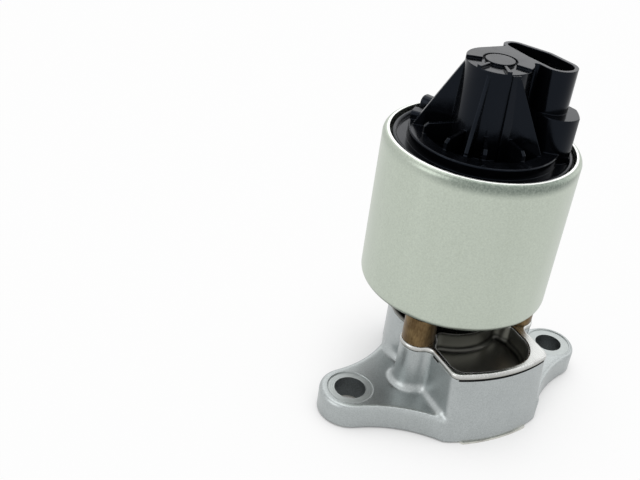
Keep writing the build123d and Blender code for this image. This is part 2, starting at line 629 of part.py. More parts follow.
def make_armature_sleeve():
    return STEM * ring(SLEEVE_R, SLEEVE_BORE_R, Z_CAN_FLOOR, Z_UPPER_POLE)


def make_coil_bobbin():
    low, high = Z_LOWER_POLE + FIT, Z_UPPER_POLE - FIT
    bobbin = ring(BOBBIN_TUBE_R, BOBBIN_BORE_R, low, high)
    bobbin += ring(BOBBIN_FLANGE_R, BOBBIN_BORE_R, low, low + BOBBIN_FLANGE_T)
    bobbin += ring(BOBBIN_FLANGE_R, BOBBIN_BORE_R, high - BOBBIN_FLANGE_T, high)
    return STEM * bobbin


def make_coil_winding():
    low = Z_LOWER_POLE + FIT + BOBBIN_FLANGE_T
    high = Z_UPPER_POLE - FIT - BOBBIN_FLANGE_T
    return STEM * ring(COIL_R, BOBBIN_TUBE_R, low, high)


def make_armature():
    armature = disc(ARMATURE_R, Z_ARMATURE, Z_ARMATURE_TOP)
    armature = chamfer(armature.edges(), SLEEVE_T)
    armature -= disc(SPRING_POCKET_R, Z_SPRING, Z_ARMATURE_TOP)
    armature -= disc(STEM_R, Z_ARMATURE, Z_SPRING)
    return STEM * armature


def make_armature_clip():
    """Open retaining ring on the stem, at the bottom of the armature's spring pocket."""
    clip = ring(CLIP_R, STEM_R, Z_SPRING, Z_SPRING + CLIP_T)
    clip -= Pos(CLIP_R, 0, Z_SPRING) * Box(CLIP_R * 2, STEM_R, CLIP_T, align=UP)
    return STEM * clip


def make_return_spring():
    return STEM * spring(SPRING_R, SPRING_WIRE_R, SPRING_TURNS, Z_SPRING, Z_SPRING_TOP)


# ---------------------------------------------------------------- sensor cap
def radial_rib(angle, width, profile_points):
    """A thin upright wall along one direction from the stem, from points of radius and level."""
    profile = make_face(Polyline(*profile_points, close=True))
    wall = extrude(Plane.XZ * profile, width / 2, both=True)
    return Rot(0, 0, angle) * wall


def rounded_hull(circles):
    """Convex outline round several circles given as centre and radius."""
    edges = []
    for (x, y), radius in circles:
        edges += (Pos(x, y) * Circle(radius)).edges()
    return make_hull(edges)


def make_sensor_cap():
    """Moulded cap: flange, deck, ribbed pocket, sensor tower, connector pedestal and shell."""
    cap = disc(CAP_R, Z_CAP, Z_CAP_FLANGE)
    bead_out, bead_in = CAP_BEAD_R + CAP_BEAD_W / 2, CAP_BEAD_R - CAP_BEAD_W / 2
    bead = ring(bead_out, bead_in, Z_CAP_FLANGE, Z_CAP_FLANGE + CAP_BEAD_H)
    cap += fillet(bead.edges().group_by(Axis.Z)[-1], CAP_BEAD_W * 0.45)
    deck = disc(DECK_R, Z_CAP_FLANGE, Z_DECK)
    cap += fillet(deck.edges().sort_by(Axis.Z)[-1], DECK_EDGE_R)
    cap -= disc(POCKET_R, Z_CAP_FLANGE, Z_DECK)

    tower = Pos(0, 0, Z_CAP_FLANGE) * Cone(TOWER_FOOT_R, TOWER_TOP_R, Z_TOWER - Z_CAP_FLANGE, align=UP)
    rib_reach = POCKET_R + RIB_OVERLAP
    ribs = [radial_rib(angle, RIB_T, rib_points(rib_reach)) for angle in LOW_RIB_ANGLES]
    ridge = [(POCKET_R, Z_DECK), (DECK_R - RIDGE_INSET, Z_DECK), (DECK_R - RIDGE_INSET, Z_DECK + RIDGE_H),
             (POCKET_R, Z_DECK + RIDGE_H)]
    ribs += [radial_rib(angle, RIB_T, ridge) for angle in RIDGE_ANGLES]
    ribs += [make_pilaster(), make_side_gusset()]
    for angle, inset in GUSSETS:
        foot_r = DECK_R - inset
        top = Z_TOWER - GUSSET_TOP_DROP
        inner = TOWER_TOP_R / 2
        ribs.append(radial_rib(angle, GUSSET_T, [
            (inner, Z_CAP_FLANGE), (rib_reach, Z_CAP_FLANGE), (foot_r, Z_DECK),
            (foot_r, Z_DECK + RIB_T / 2), (TOWER_TOP_R, top), (inner, top)]))
    for angle, length, inset, rise in LUGS:
        lug = Box(length, LUG_W, rise, align=(Align.MAX, Align.CENTER, Align.MIN))
        lug = fillet(lug.edges().filter_by(Axis.X).group_by(Axis.Z)[-1], min(rise, LUG_W) * 0.4)
        ribs.append(Rot(0, 0, angle) * Pos(DECK_R - inset, 0, Z_DECK) * lug)

    pedestal = extrude(Pos(0, 0, Z_CAP_FLANGE) * pedestal_face(), Z_PEDESTAL - Z_CAP_FLANGE)
    shell = extrude(Pos(0, 0, Z_CAP_FLANGE) * shell_face(), Z_TOWER - Z_CAP_FLANGE)
    web = extrude(Pos(0, 0, Z_CAP_FLANGE) * web_face(), Z_TOWER - Z_CAP_FLANGE)
    for piece in [tower, pedestal, shell, web] + ribs:
        cap += piece

    cap -= extrude(Pos(0, 0, Z_SHELL_FLOOR) * shell_face(-SHELL_WALL), SHELL_DEPTH)
    cap -= disc(TOWER_BORE_R, Z_CAP, Z_TOWER_ROOF)
    cap -= tower_top_relief()
    groove_z = (Z_CAP + Z_CAP_FLANGE) / 2
    cap -= ring(CAP_R, SEAL_R - SEAL_WIRE_R, groove_z - SEAL_GROOVE_W / 2, groove_z + SEAL_GROOVE_W / 2)
    for x, y in terminal_points():
        cap -= Pos(x, y, Z_SHELL_FLOOR - TERMINAL_ROOT) * terminal_blank(TERMINAL_ROOT)
    return STEM * cap


def pilaster_edge():
    """Plan point of the upright strip's right edge at its top."""
    out, angle = TOWER_TOP_R + PILASTER_TOP_OUT, math.radians(PILASTER_ANGLE)
    side = PILASTER_W / 2
    return (out * math.cos(angle) - side * math.sin(angle), out * math.sin(angle) + side * math.cos(angle))


def make_pilaster():
    top, foot_r = Z_TOWER - PILASTER_DROP, TOWER_FOOT_R + PILASTER_FOOT_OUT
    return radial_rib(PILASTER_ANGLE, PILASTER_W, [
        (TOWER_TOP_R / 2, Z_CAP_FLANGE), (foot_r, Z_CAP_FLANGE),
        (TOWER_TOP_R + PILASTER_TOP_OUT, top), (TOWER_TOP_R / 2, top)])


def make_side_gusset():
    """The gusset that runs from the upright strip's right edge to the deck, off the radius."""
    top = Z_TOWER - GUSSET_TOP_DROP
    x, y = pilaster_edge()
    wall = radial_rib(SIDE_GUSSET_ANGLE, GUSSET_T, [
        (-SIDE_GUSSET_ROOT, Z_CAP_FLANGE), (SIDE_GUSSET_REACH, Z_CAP_FLANGE),
        (SIDE_GUSSET_REACH, Z_DECK + RIB_T / 2), (0, top), (-SIDE_GUSSET_ROOT, top)])
    return Pos(x, y, 0) * wall


def tower_top_relief():
    """Groove round the middle pad and recesses outside it, cut into the tower's top."""
    low = Z_TOWER - TOP_RELIEF
    pad_r = TOP_PAD_R + TOP_GROOVE_W
    relief = ring(pad_r, TOP_PAD_R, low, Z_TOWER)
    reach = TOWER_FOOT_R + PILASTER_FOOT_OUT
    for angle in TOP_RECESSES:
        sides = [(reach * math.cos(math.radians(turn)), reach * math.sin(math.radians(turn)))
                 for turn in (angle - TOP_RECESS_SPAN / 2, angle, angle + TOP_RECESS_SPAN / 2)]
        sector = make_face([Line((0, 0), sides[0]), ThreePointArc(*sides), Line(sides[2], (0, 0))])
        relief += extrude(Pos(0, 0, low) * sector, TOP_RELIEF) - disc(pad_r, low, Z_TOWER)
    return relief


def rib_points(reach):
    """Profile of a low rib from the tower to a radius."""
    top = Z_DECK + RIB_H
    return [(TOWER_TOP_R / 2, Z_CAP_FLANGE), (POCKET_R + RIB_OVERLAP / 2, Z_CAP_FLANGE), (reach, Z_DECK),
            (reach, top - RIB_T), (reach - RIB_T, top), (TOWER_TOP_R / 2, top + RIB_T)]


def pedestal_face():
    hull = rounded_hull(((PEDESTAL_FRONT, PEDESTAL_END_R), (PEDESTAL_REAR, PEDESTAL_END_R)))
    return hull & Circle(PEDESTAL_R)


def shell_face(grow=0.0):
    return rounded_hull(((SHELL_FRONT, SHELL_FRONT_R + grow), (SHELL_MIDDLE, SHELL_MIDDLE_R + grow),
                         (SHELL_REAR, SHELL_REAR_R + grow)))


def web_face():
    """Plan of the flat web that ties the tower to the connector shell."""
    return make_face(Polyline(
        (0, WEB_BACK_Y), (WEB_X, WEB_BACK_Y), (WEB_X, WEB_FRONT_Y - 2), (WEB_X - 2, WEB_NOTCH_Y),
        (WEB_NOTCH_X, WEB_FRONT_Y), (0, WEB_FRONT_Y), close=True))


def terminal_points():
    """Plan points of the terminals, in line along the connector shell, from the stem."""
    start_x, start_y = SHELL_FRONT
    end_x, end_y = SHELL_REAR
    span = math.hypot(end_x - start_x, end_y - start_y)
    step_x, step_y = (end_x - start_x) / span, (end_y - start_y) / span
    middle = (TERMINAL_COUNT - 1) / 2
    centre = span / 2
    offsets = [centre + (number - middle) * TERMINAL_PITCH for number in range(TERMINAL_COUNT)]
    return [(start_x + step_x * reach, start_y + step_y * reach) for reach in offsets]


def terminal_blank(length):
    """A flat blade, its width along the row of terminals."""
    angle = math.degrees(math.atan2(SHELL_REAR[1] - SHELL_FRONT[1], SHELL_REAR[0] - SHELL_FRONT[0]))
    return Rot(0, 0, angle) * Box(TERMINAL_W, TERMINAL_T, length, align=UP)


def make_terminal(point):
    blade = terminal_blank(TERMINAL_ROOT + TERMINAL_RISE)
    blade = chamfer(blade.edges().group_by(Axis.Z)[-1], TERMINAL_TIP)
    return STEM * Pos(point[0], point[1], Z_SHELL_FLOOR - TERMINAL_ROOT) * blade


def make_cap_seal():
    return STEM * Pos(0, 0, (Z_CAP + Z_CAP_FLANGE) / 2) * Torus(SEAL_R, SEAL_WIRE_R)


# ---------------------------------------------------------------- position sensor
def make_sensor_plunger():
    plunger = disc(PLUNGER_R, Z_ARMATURE_TOP, Z_CARRIAGE + CARRIAGE_H / 2)
    return STEM * fillet(plunger.edges().sort_by(Axis.Z)[0], PLUNGER_R * 0.6)


def make_wiper_carriage():
    carriage = Pos(0, 0, Z_CARRIAGE) * Box(CARRIAGE_W, CARRIAGE_D, CARRIAGE_H, align=UP)
    carriage = fillet(carriage.edges().filter_by(Axis.Z), 1.0)
    carriage -= disc(PLUNGER_R, Z_CARRIAGE, Z_CARRIAGE + CARRIAGE_H / 2)
    return STEM * carriage


def make_sensor_spring():
    return STEM * spring(SENSOR_SPRING_R, SENSOR_WIRE_R, SENSOR_TURNS, Z_CARRIAGE + CARRIAGE_H, Z_TOWER_ROOF)


def make_resistor_element():
    board = Box(BOARD_T, BOARD_W, Z_TOWER_ROOF - Z_CAP_FLANGE - BOARD_RISE - BOARD_TOP_GAP,
                align=(Align.MIN, Align.CENTER, Align.MIN))
    return STEM * Pos(BOARD_X, 0, Z_CAP_FLANGE + BOARD_RISE) * board


def make_wiper_contacts():
    """Two sprung fingers from the carriage to the element's face."""
    start = CARRIAGE_W / 2
    length = BOARD_X - FINGER_GAP - start
    along = (Align.MIN, Align.CENTER, Align.MIN)
    finger = Box(length, FINGER_W, FINGER_T, align=along)
    finger += Pos(length - FINGER_T, 0, 0) * Box(FINGER_T, FINGER_W, FINGER_W, align=along)
    level = Z_CARRIAGE + CARRIAGE_H / 2
    places = [Pos(start, side * FINGER_PITCH / 2, level) for side in (-1, 1)]
    return Compound(children=[STEM * place * finger for place in places])


def make_nodes():
    """Every separate piece of the valve by its name."""
    nodes = {
        "base_gasket": make_base_gasket(),
        "base_casting": make_base_casting(),
        "valve_seat": make_valve_seat(),
        "pintle": make_pintle(),
        "stem_bushing": make_stem_bushing(),
        "cover_gasket": make_cover_gasket(),
        "gas_shield_plate": make_gas_shield_plate(),
        "standoff_screws": make_standoff_screws(),
        "solenoid_can": make_solenoid_can(),
        "lower_pole_piece": make_lower_pole_piece(),
        "upper_pole_piece": make_upper_pole_piece(),
        "armature_sleeve": make_armature_sleeve(),
        "coil_bobbin": make_coil_bobbin(),
        "coil_winding": make_coil_winding(),
        "armature": make_armature(),
        "armature_clip": make_armature_clip(),
        "return_spring": make_return_spring(),
        "sensor_cap": make_sensor_cap(),
        "cap_seal": make_cap_seal(),
        "sensor_plunger": make_sensor_plunger(),
        "wiper_carriage": make_wiper_carriage(),
        "wiper_contacts": make_wiper_contacts(),
        "sensor_spring": make_sensor_spring(),
        "resistor_element": make_resistor_element(),
    }
    standoff = make_standoff()
    for name, (x, y) in zip(POST_NAMES, POSTS):
        nodes[name] = Pos(x, y, 0) * standoff
    for number, point in enumerate(terminal_points(), start=1):
        nodes[f"terminal_{number}"] = make_terminal(point)
    return nodes


if __name__ == "__main__":
    os.makedirs("parts", exist_ok=True)
    for name, shape in make_nodes().items():
        export_step(shape, os.path.join("parts", f"{name}.step"))
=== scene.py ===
"""Finishes, cast skin and studio for a linear exhaust gas recirculation valve.

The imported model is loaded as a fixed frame. Each sub-assembly is a class that builds or picks up
its pieces and gives them the finish of the real ones.
"""
import json
import logging
import math
from collections.abc import Callable, Iterable, Iterator, Mapping, Sequence
from contextlib import contextmanager
from dataclasses import dataclass
from enum import Enum
from typing import Optional

import bmesh
import bpy
from mathutils import Matrix, Vector

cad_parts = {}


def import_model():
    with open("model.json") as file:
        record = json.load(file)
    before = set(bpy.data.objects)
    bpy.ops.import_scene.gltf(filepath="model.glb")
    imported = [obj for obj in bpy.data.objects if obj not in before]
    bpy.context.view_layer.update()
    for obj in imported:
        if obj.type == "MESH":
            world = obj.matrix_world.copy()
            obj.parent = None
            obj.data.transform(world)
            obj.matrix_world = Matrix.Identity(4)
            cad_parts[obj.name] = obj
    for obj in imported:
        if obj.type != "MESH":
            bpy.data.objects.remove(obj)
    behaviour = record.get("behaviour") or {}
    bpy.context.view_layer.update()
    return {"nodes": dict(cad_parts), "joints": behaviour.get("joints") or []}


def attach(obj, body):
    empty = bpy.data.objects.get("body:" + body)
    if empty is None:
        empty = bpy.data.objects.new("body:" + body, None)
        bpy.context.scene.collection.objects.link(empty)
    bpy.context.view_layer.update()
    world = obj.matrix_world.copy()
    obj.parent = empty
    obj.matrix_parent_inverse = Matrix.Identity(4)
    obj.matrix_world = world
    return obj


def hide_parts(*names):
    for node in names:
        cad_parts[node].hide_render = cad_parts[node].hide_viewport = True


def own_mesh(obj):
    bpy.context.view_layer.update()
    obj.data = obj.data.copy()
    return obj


log = logging.getLogger("egr_valve")

MM = 0.001
VALVE_BODY = "valve_body"       # body that the casting and the springs ride on
STEM_XY = (0.0, 12.0)           # axis of the stem and the can, in millimetres
NOISE_SPAN = (0.35, 0.65)       # where most values of a noise texture lie
EDGE_SAMPLES = 6
DOUBLES_MM = 0.002              # vertices nearer than this are one
LEVEL_MM = 0.01                 # a face within this of a level lies on it
FACING = 0.99                   # cosine past which a face looks straight along a direction

Colour = tuple[float, float, float, float]
Point = tuple[float, float, float]
Pair = tuple[float, float]
Node = bpy.types.Node
Inputs = Mapping[str, object] | Sequence[object]
Stops = Sequence[tuple[float, str]]
Relief = tuple[object, float]   # the node or socket of a height, and its depth in millimetres
Packed = Mapping[str, bpy.types.Object]


class Turning(Enum):
    """How a tool ran over turned metal, as the settings of the wave texture that draws its marks."""

    FACE = {"wave_type": "RINGS", "rings_direction": "Z"}
    OUTSIDE = {"wave_type": "BANDS", "bands_direction": "Z"}


# ---------------------------------------------------------------- colour and node helpers
def to_linear(hex_colour: str) -> Colour:
    """Turn an sRGB hex value into linear light.

    Args:
        hex_colour: Six hex digits with a leading hash.

    Returns:
        Red, green, blue and an alpha of one.
    """
    parts = [int(hex_colour[i:i + 2], 16) / 255 for i in (1, 3, 5)]
    red, green, blue = (c / 12.92 if c <= 0.04045 else ((c + 0.055) / 1.055) ** 2.4 for c in parts)
    return (red, green, blue, 1.0)


def per_metre(size_mm: float) -> float:
    """Scale of a pattern whose features are the given size in millimetres."""
    return 1.0 / (size_mm * MM)


def around(value: float, spread: float) -> Pair:
    """The range that spreads to both sides of a value."""
    return (value - spread, value + spread)


def metres(sizes_mm: Iterable[float]) -> tuple[float, ...]:
    """Sizes in millimetres as metres."""
    return tuple(size * MM for size in sizes_mm)


def source_of(value: object) -> object:
    """Turn a node into its first output in use, and leave any other value as it is.

    Args:
        value: Node, socket, number or colour.

    Returns:
        What an input can take.
    """
    if isinstance(value, Node):
        return next(socket for socket in value.outputs if socket.enabled)
    return value


def add_node(tree: bpy.types.NodeTree, kind: str, inputs: Inputs = (), stops: Stops = (),
             **settings: object) -> Node:
    """Add one node with its settings, values and links.

    Args:
        tree: Node tree that gets the node.
        kind: Blender's name of the node type.
        inputs: Value, socket or node for each input, by name, or in the order of those in use.
        stops: Position and sRGB hex colour of each stop of a colour ramp, in order.
        **settings: Properties of the node itself.

    Returns:
        The new node.
    """
    node = tree.nodes.new(kind)
    for name, value in settings.items():
        setattr(node, name, value)
    in_use = [socket for socket in node.inputs if socket.enabled]
    if isinstance(inputs, Mapping):
        targets = [next(socket for socket in in_use if socket.name == name) for name in inputs]
        inputs = list(inputs.values())
    else:
        targets = in_use[:len(inputs)]
    for target, value in zip(targets, inputs):
        source = source_of(value)
        if isinstance(source, bpy.types.NodeSocket):
            tree.links.new(source, target)
        else:
            target.default_value = source
    for place, (position, colour) in enumerate(stops):
        elements = node.color_ramp.elements
        stop = elements[place] if place < len(elements) else elements.new(position)
        stop.position, stop.color = position, to_linear(colour)
    return node


@dataclass(frozen=True)
class Drawing:
    """A material that is being drawn."""

    tree: bpy.types.NodeTree
    shader: Node
    where: bpy.types.NodeSocket     # object coordinates in metres

    def add(self, kind: str, inputs: Inputs = (), stops: Stops = (), **settings: object) -> Node:
        """Add one node to the material, as add_node does."""
        return add_node(self.tree, kind, inputs, stops, **settings)

    def feed(self, name: str, source: object) -> None:
        """Link a node or socket to one of the shader's inputs."""
        self.tree.links.new(source_of(source), self.shader.inputs[name])

    def above(self, low_mm: float, high_mm: float) -> Node:
        """Nought below the first level and one above the second."""
        height = self.add("ShaderNodeSeparateXYZ", (self.where,)).outputs["Z"]
        return self.add("ShaderNodeMapRange", (height, low_mm * MM, high_mm * MM, 0.0, 1.0),
                        interpolation_type="SMOOTHSTEP")

    def placed(self, scale: Point, centre_mm: Pair = (0.0, 0.0)) -> Node:
        """Coordinates moved to an upright axis and then scaled."""
        moved = self.add("ShaderNodeVectorMath", (self.where, (*metres(centre_mm), 0.0)), operation="SUBTRACT")
        return self.add("ShaderNodeVectorMath", (moved, scale), operation="MULTIPLY")


# ---------------------------------------------------------------- finishes
@dataclass(frozen=True)
class Finish:
    """One real surface: its name, its colour and how its surface was made."""

    name: str
    tint: str
    roughness: float
    metallic: float = 0.0
    edge_mm: float = 0.25
    specular: float = 0.5
    specular_tint: str = "#FFFFFF"

    def material(self) -> bpy.types.Material:
        """Make the material, or find it where it was made before.

        Returns:
            A material whose shader has the constant values on its own sockets.
        """
        name = f"finish_{self.name}"
        found = bpy.data.materials.get(name)
        if found:
            return found
        made = bpy.data.materials.new(name)
        made.use_nodes = True
        tree = made.node_tree
        shader = tree.nodes["Principled BSDF"]
        for socket, value in {"Base Color": to_linear(self.tint), "Roughness": self.roughness,
                              "Metallic": self.metallic, "Specular IOR Level": self.specular,
                              "Specular Tint": to_linear(self.specular_tint)}.items():
            shader.inputs[socket].default_value = value
        draw = Drawing(tree, shader, add_node(tree, "ShaderNodeTexCoord").outputs["Object"])
        height, depth_mm = self.pattern(draw)
        # Every real edge is slightly broken, so each finish catches light on its edges.
        edge = draw.add("ShaderNodeBevel", {"Radius": self.edge_mm * MM}, samples=EDGE_SAMPLES)
        draw.feed("Normal", draw.add("ShaderNodeBump", {"Height": height, "Distance": depth_mm * MM,
                                                        "Strength": 1.0, "Normal": edge}))
        return made

    def pattern(self, draw: Drawing) -> Relief:
        """Draw the finish's own pattern, which each kind of surface gives.

        Args:
            draw: The material.

        Returns:
            The height of its relief, and the relief's depth in millimetres.
        """
        raise NotImplementedError


@dataclass(frozen=True)
class CastAluminium(Finish):
    """Aluminium casting, shot-blasted: matt silver skin with a fine sparkle and soft hollows."""

    dark: str = "#9DA2A2"
    light: str = "#B4B9B9"
    grit_mm: float = 0.4       # shot is finer than this, drawn as coarse as shows
    hollow_mm: float = 6.0
    depth_mm: float = 0.022
    spread: float = 0.04       # of the roughness

    def pattern(self, draw: Drawing) -> Relief:
        """Draw grit, hollows and a slightly uneven grey.

        Args:
            draw: The material.

        Returns:
            The height of the grit and hollows, and their depth in millimetres.
        """
        grit = draw.add("ShaderNodeTexNoise", {"Vector": draw.where, "Scale": per_metre(self.grit_mm),
                                               "Detail": 3.0, "Roughness": 0.65})
        hollows = draw.add("ShaderNodeTexNoise", {"Vector": draw.where, "Scale": per_metre(self.hollow_mm),
                                                  "Detail": 2.0})
        shade = draw.add("ShaderNodeMix", (0.15, grit, hollows), data_type="FLOAT")
        draw.feed("Base Color", draw.add("ShaderNodeValToRGB", (shade,),
                                         ((0.34, self.dark), (0.5, self.tint), (0.64, self.light))))
        draw.feed("Roughness", draw.add("ShaderNodeMapRange",
                                        (grit, *NOISE_SPAN, *around(self.roughness, self.spread)),
                                        interpolation_type="SMOOTHSTEP"))
        return draw.add("ShaderNodeMix", (0.6, hollows, grit), data_type="FLOAT"), self.depth_mm


@dataclass(frozen=True)
class TurnedMetal(Finish):
    """Metal turned on a lathe: fine rings about an upright axis, which draw light into a cross."""

    marks: Turning = Turning.OUTSIDE
    centre_mm: Pair = (0.0, 0.0)
    pitch_mm: float = 0.35
    depth_mm: float = 0.012
    mottle_mm: float = 2.2
    spread: float = 0.07       # of the roughness

    def pattern(self, draw: Drawing) -> Relief:
        """Draw tool rings and a little mottling.

        Args:
            draw: The material.

        Returns:
            The height of the rings, and their depth in millimetres.
        """
        rings = draw.add("ShaderNodeTexWave", {"Vector": draw.placed((1.0, 1.0, 1.0), self.centre_mm),
                                               "Scale": per_metre(self.pitch_mm * math.tau), "Distortion": 0.6,
                                               "Detail": 1.0, "Detail Scale": 0.4}, **self.marks.value)
        mottle = draw.add("ShaderNodeTexNoise", {"Vector": draw.where, "Scale": per_metre(self.mottle_mm),
                                                 "Detail": 3.0, "Roughness": 0.6})
        draw.feed("Roughness", draw.add("ShaderNodeMapRange",
                                        (mottle, *NOISE_SPAN, *around(self.roughness, self.spread)),
                                        interpolation_type="SMOOTHSTEP"))
        return rings.outputs["Fac"], self.depth_mm


@dataclass(frozen=True)
class PressedSteel(Finish):
    """Sheet steel or drawn tube: fine directional grain with brighter worn spots.

    A sheet may have a dish darkened with painted shade, darker still in its foot, and painted shade round an
    upright stem.
    """

    grain_mm: Point = (0.25, 6.0, 0.25)
    depth_mm: float = 0.006
    spread: float = 0.08                    # of the roughness
    light: str = "#E4E2DE"
    dark: str = "#B4B1AC"
    cloud_mm: float = 9.0
    dish: Optional[str] = None              # colour of the dish, painted shade darker than the land
    dish_roughness: float = 0.33
    dish_z_mm: Pair = (0.0, 0.0)            # levels over which the dish turns into the land
    foot_shade: str = "#4C4C48"                   # painted shade in the foot of the dish's wall
    foot_shade_z_mm: tuple[Pair, Pair] = ((0.0, 0.0), (0.0, 0.0))   # levels over which it starts and ends
    stem_shade: Optional[str] = None           # painted shade round an upright stem, under the can
    stem_shade_at_mm: Pair = (0.0, 0.0)
    stem_shade_r_mm: Pair = (0.0, 0.0)         # distances from the stem over which it fades out

    def pattern(self, draw: Drawing) -> Relief:
        """Draw grain long in one direction, then the painted shade round the stem, in the dish and in the dish's
        foot that the sheet has.

        Args:
            draw: The material.

        Returns:
            The height of the grain, and its depth in millimetres.
        """
        along = draw.placed(tuple(per_metre(size) for size in self.grain_mm))
        grain = draw.add("ShaderNodeTexNoise", {"Vector": along, "Scale": 1.0, "Detail": 3.0})
        clouds = draw.add("ShaderNodeTexNoise", {"Vector": draw.where, "Scale": per_metre(self.cloud_mm),
                                                 "Detail": 2.0})
        shade = draw.add("ShaderNodeMix", (0.4, clouds, grain), data_type="FLOAT")
        colour = draw.add("ShaderNodeValToRGB", (shade,),
                          ((0.35, self.dark), (0.5, self.tint), (0.65, self.light)))
        rough = draw.add("ShaderNodeMapRange", (shade, 0.38, 0.62, *around(self.roughness, self.spread)),
                         interpolation_type="SMOOTHSTEP")
        # Painted shade under the can, fading out away from the stem.
        if self.stem_shade:
            reach = draw.add("ShaderNodeVectorMath", (draw.placed((1.0, 1.0, 0.0), self.stem_shade_at_mm),),
                             operation="LENGTH")
            clear_of_stem_shade = draw.add("ShaderNodeMapRange", (reach, *metres(self.stem_shade_r_mm), 0.0, 1.0),
                            interpolation_type="SMOOTHSTEP")
            colour = draw.add("ShaderNodeMix", (clear_of_stem_shade, to_linear(self.stem_shade), colour), data_type="RGBA")
        # Painted shade in the dish, darkest in the foot of its wall.
        if self.dish:
            land = draw.above(*self.dish_z_mm)
            foot = draw.add("ShaderNodeMath", [draw.above(*levels) for levels in self.foot_shade_z_mm],
                            operation="SUBTRACT")
            dished = draw.add("ShaderNodeMix", (foot, to_linear(self.dish), to_linear(self.foot_shade)),
                              data_type="RGBA")
            colour = draw.add("ShaderNodeMix", (land, dished, colour), data_type="RGBA")
            rough = draw.add("ShaderNodeMix", (land, self.dish_roughness, rough), data_type="FLOAT")
            grain = draw.add("ShaderNodeMix", (land, 0.5, grain), data_type="FLOAT")
        draw.feed("Base Color", colour)
        draw.feed("Roughness", rough)
        return grain, self.depth_mm


@dataclass(frozen=True)
class ZincPlatedSteel(Finish):
    """Deep-drawn steel, zinc plated and passivated: satin, a pale green-grey cast and a fine spangle."""

    light: str = "#C1C9BC"
    dark: str = "#B0B8AB"
    spangle_mm: float = 0.55
    draw_mm: Point = (5.0, 5.0, 60.0)       # the marks that deep drawing leaves, long up the wall
    depth_mm: float = 0.008
    # Painted shade on the underside and the foot of the wall.
    underside_shade: str = "#2E302D"
    dull_roughness: float = 0.6
    foot_z_mm: Pair = (36.3, 38.4)          # levels over which the painted shade of the underside ends
    lip: str = "#6E7870"                    # darker speckled band under the lip
    lip_z_mm: float = 87.7
    lip_grain_mm: float = 0.7
    band_mm: float = 4.6                    # height of the darker band
    band_side: Point = (-0.253, -0.968, 0.0)    # side toward which the band is strongest
    band_reach_mm: Pair = (15.0, 29.0)      # how far out that way it grows
    edge: str = "#F2F4F0"                   # painted highlight along the lip's top edge
    highlight_below_mm: Pair = (0.16, 0.06)      # how far under the lip it fades in

    def pattern(self, draw: Drawing) -> Relief:
        """Draw fine spangle, long draw marks, a darker speckled band under the lip, a painted highlight on the
        lip's edge and painted shade on the underside.

        Args:
            draw: The material.

        Returns:
            The height of the spangle, and its depth in millimetres.
        """
        spangle = draw.add("ShaderNodeTexNoise", {"Vector": draw.where, "Scale": per_metre(self.spangle_mm),
                                                  "Detail": 3.0, "Roughness": 0.7})
        along = draw.placed(tuple(per_metre(size) for size in self.draw_mm))
        drawn = draw.add("ShaderNodeTexNoise", {"Vector": along, "Scale": 1.0, "Detail": 2.0})
        shade = draw.add("ShaderNodeMix", (0.12, spangle, drawn), data_type="FLOAT")
        plated = draw.add("ShaderNodeValToRGB", (shade,),
                          ((0.32, self.dark), (0.5, self.tint), (0.66, self.light)))
        plated = draw.add("ShaderNodeMix", (self.darker_band(draw), plated, to_linear(self.lip)), data_type="RGBA")
        # Painted highlight along the lip's edge.
        lip_highlight_share = draw.above(*(self.lip_z_mm - below for below in self.highlight_below_mm))
        plated = draw.add("ShaderNodeMix", (lip_highlight_share, plated, to_linear(self.edge)), data_type="RGBA")
        satin = draw.add("ShaderNodeMapRange",
                         (spangle, *NOISE_SPAN, self.roughness - 0.04, self.roughness + 0.05),
                         interpolation_type="SMOOTHSTEP")
        # Painted shade on the underside, fading out above it.
        above_underside_shade = draw.above(*self.foot_z_mm)
        draw.feed("Base Color", draw.add("ShaderNodeMix", (above_underside_shade, to_linear(self.underside_shade), plated),
                                         data_type="RGBA"))
        draw.feed("Roughness", draw.add("ShaderNodeMix", (above_underside_shade, self.dull_roughness, satin),
                                        data_type="FLOAT"))
        return spangle, self.depth_mm

    def darker_band(self, draw: Drawing) -> Node:
        """Draw the darker speckled band under the lip, strongest toward one side.

        Args:
            draw: The material.

        Returns:
            The share of the band's colour.
        """
        band = draw.above(self.lip_z_mm - self.band_mm, self.lip_z_mm - self.band_mm / 3)
        speckle = draw.add("ShaderNodeTexNoise", {"Vector": draw.where, "Scale": per_metre(self.lip_grain_mm),
                                                  "Detail": 4.0, "Roughness": 0.8})
        grain = draw.add("ShaderNodeMapRange", (speckle, *NOISE_SPAN, 0.65, 1.0),
                         interpolation_type="SMOOTHSTEP")
        grainy = draw.add("ShaderNodeMath", (band, grain), operation="MULTIPLY")
        side = draw.add("ShaderNodeVectorMath", (draw.placed((1.0, 1.0, 1.0), STEM_XY), self.band_side),
                        operation="DOT_PRODUCT")
        toward_side = draw.add("ShaderNodeMapRange", (side, *metres(self.band_reach_mm), 0.2, 1.0),
                        interpolation_type="SMOOTHSTEP")
        return draw.add("ShaderNodeMath", (grainy, toward_side), operation="MULTIPLY")


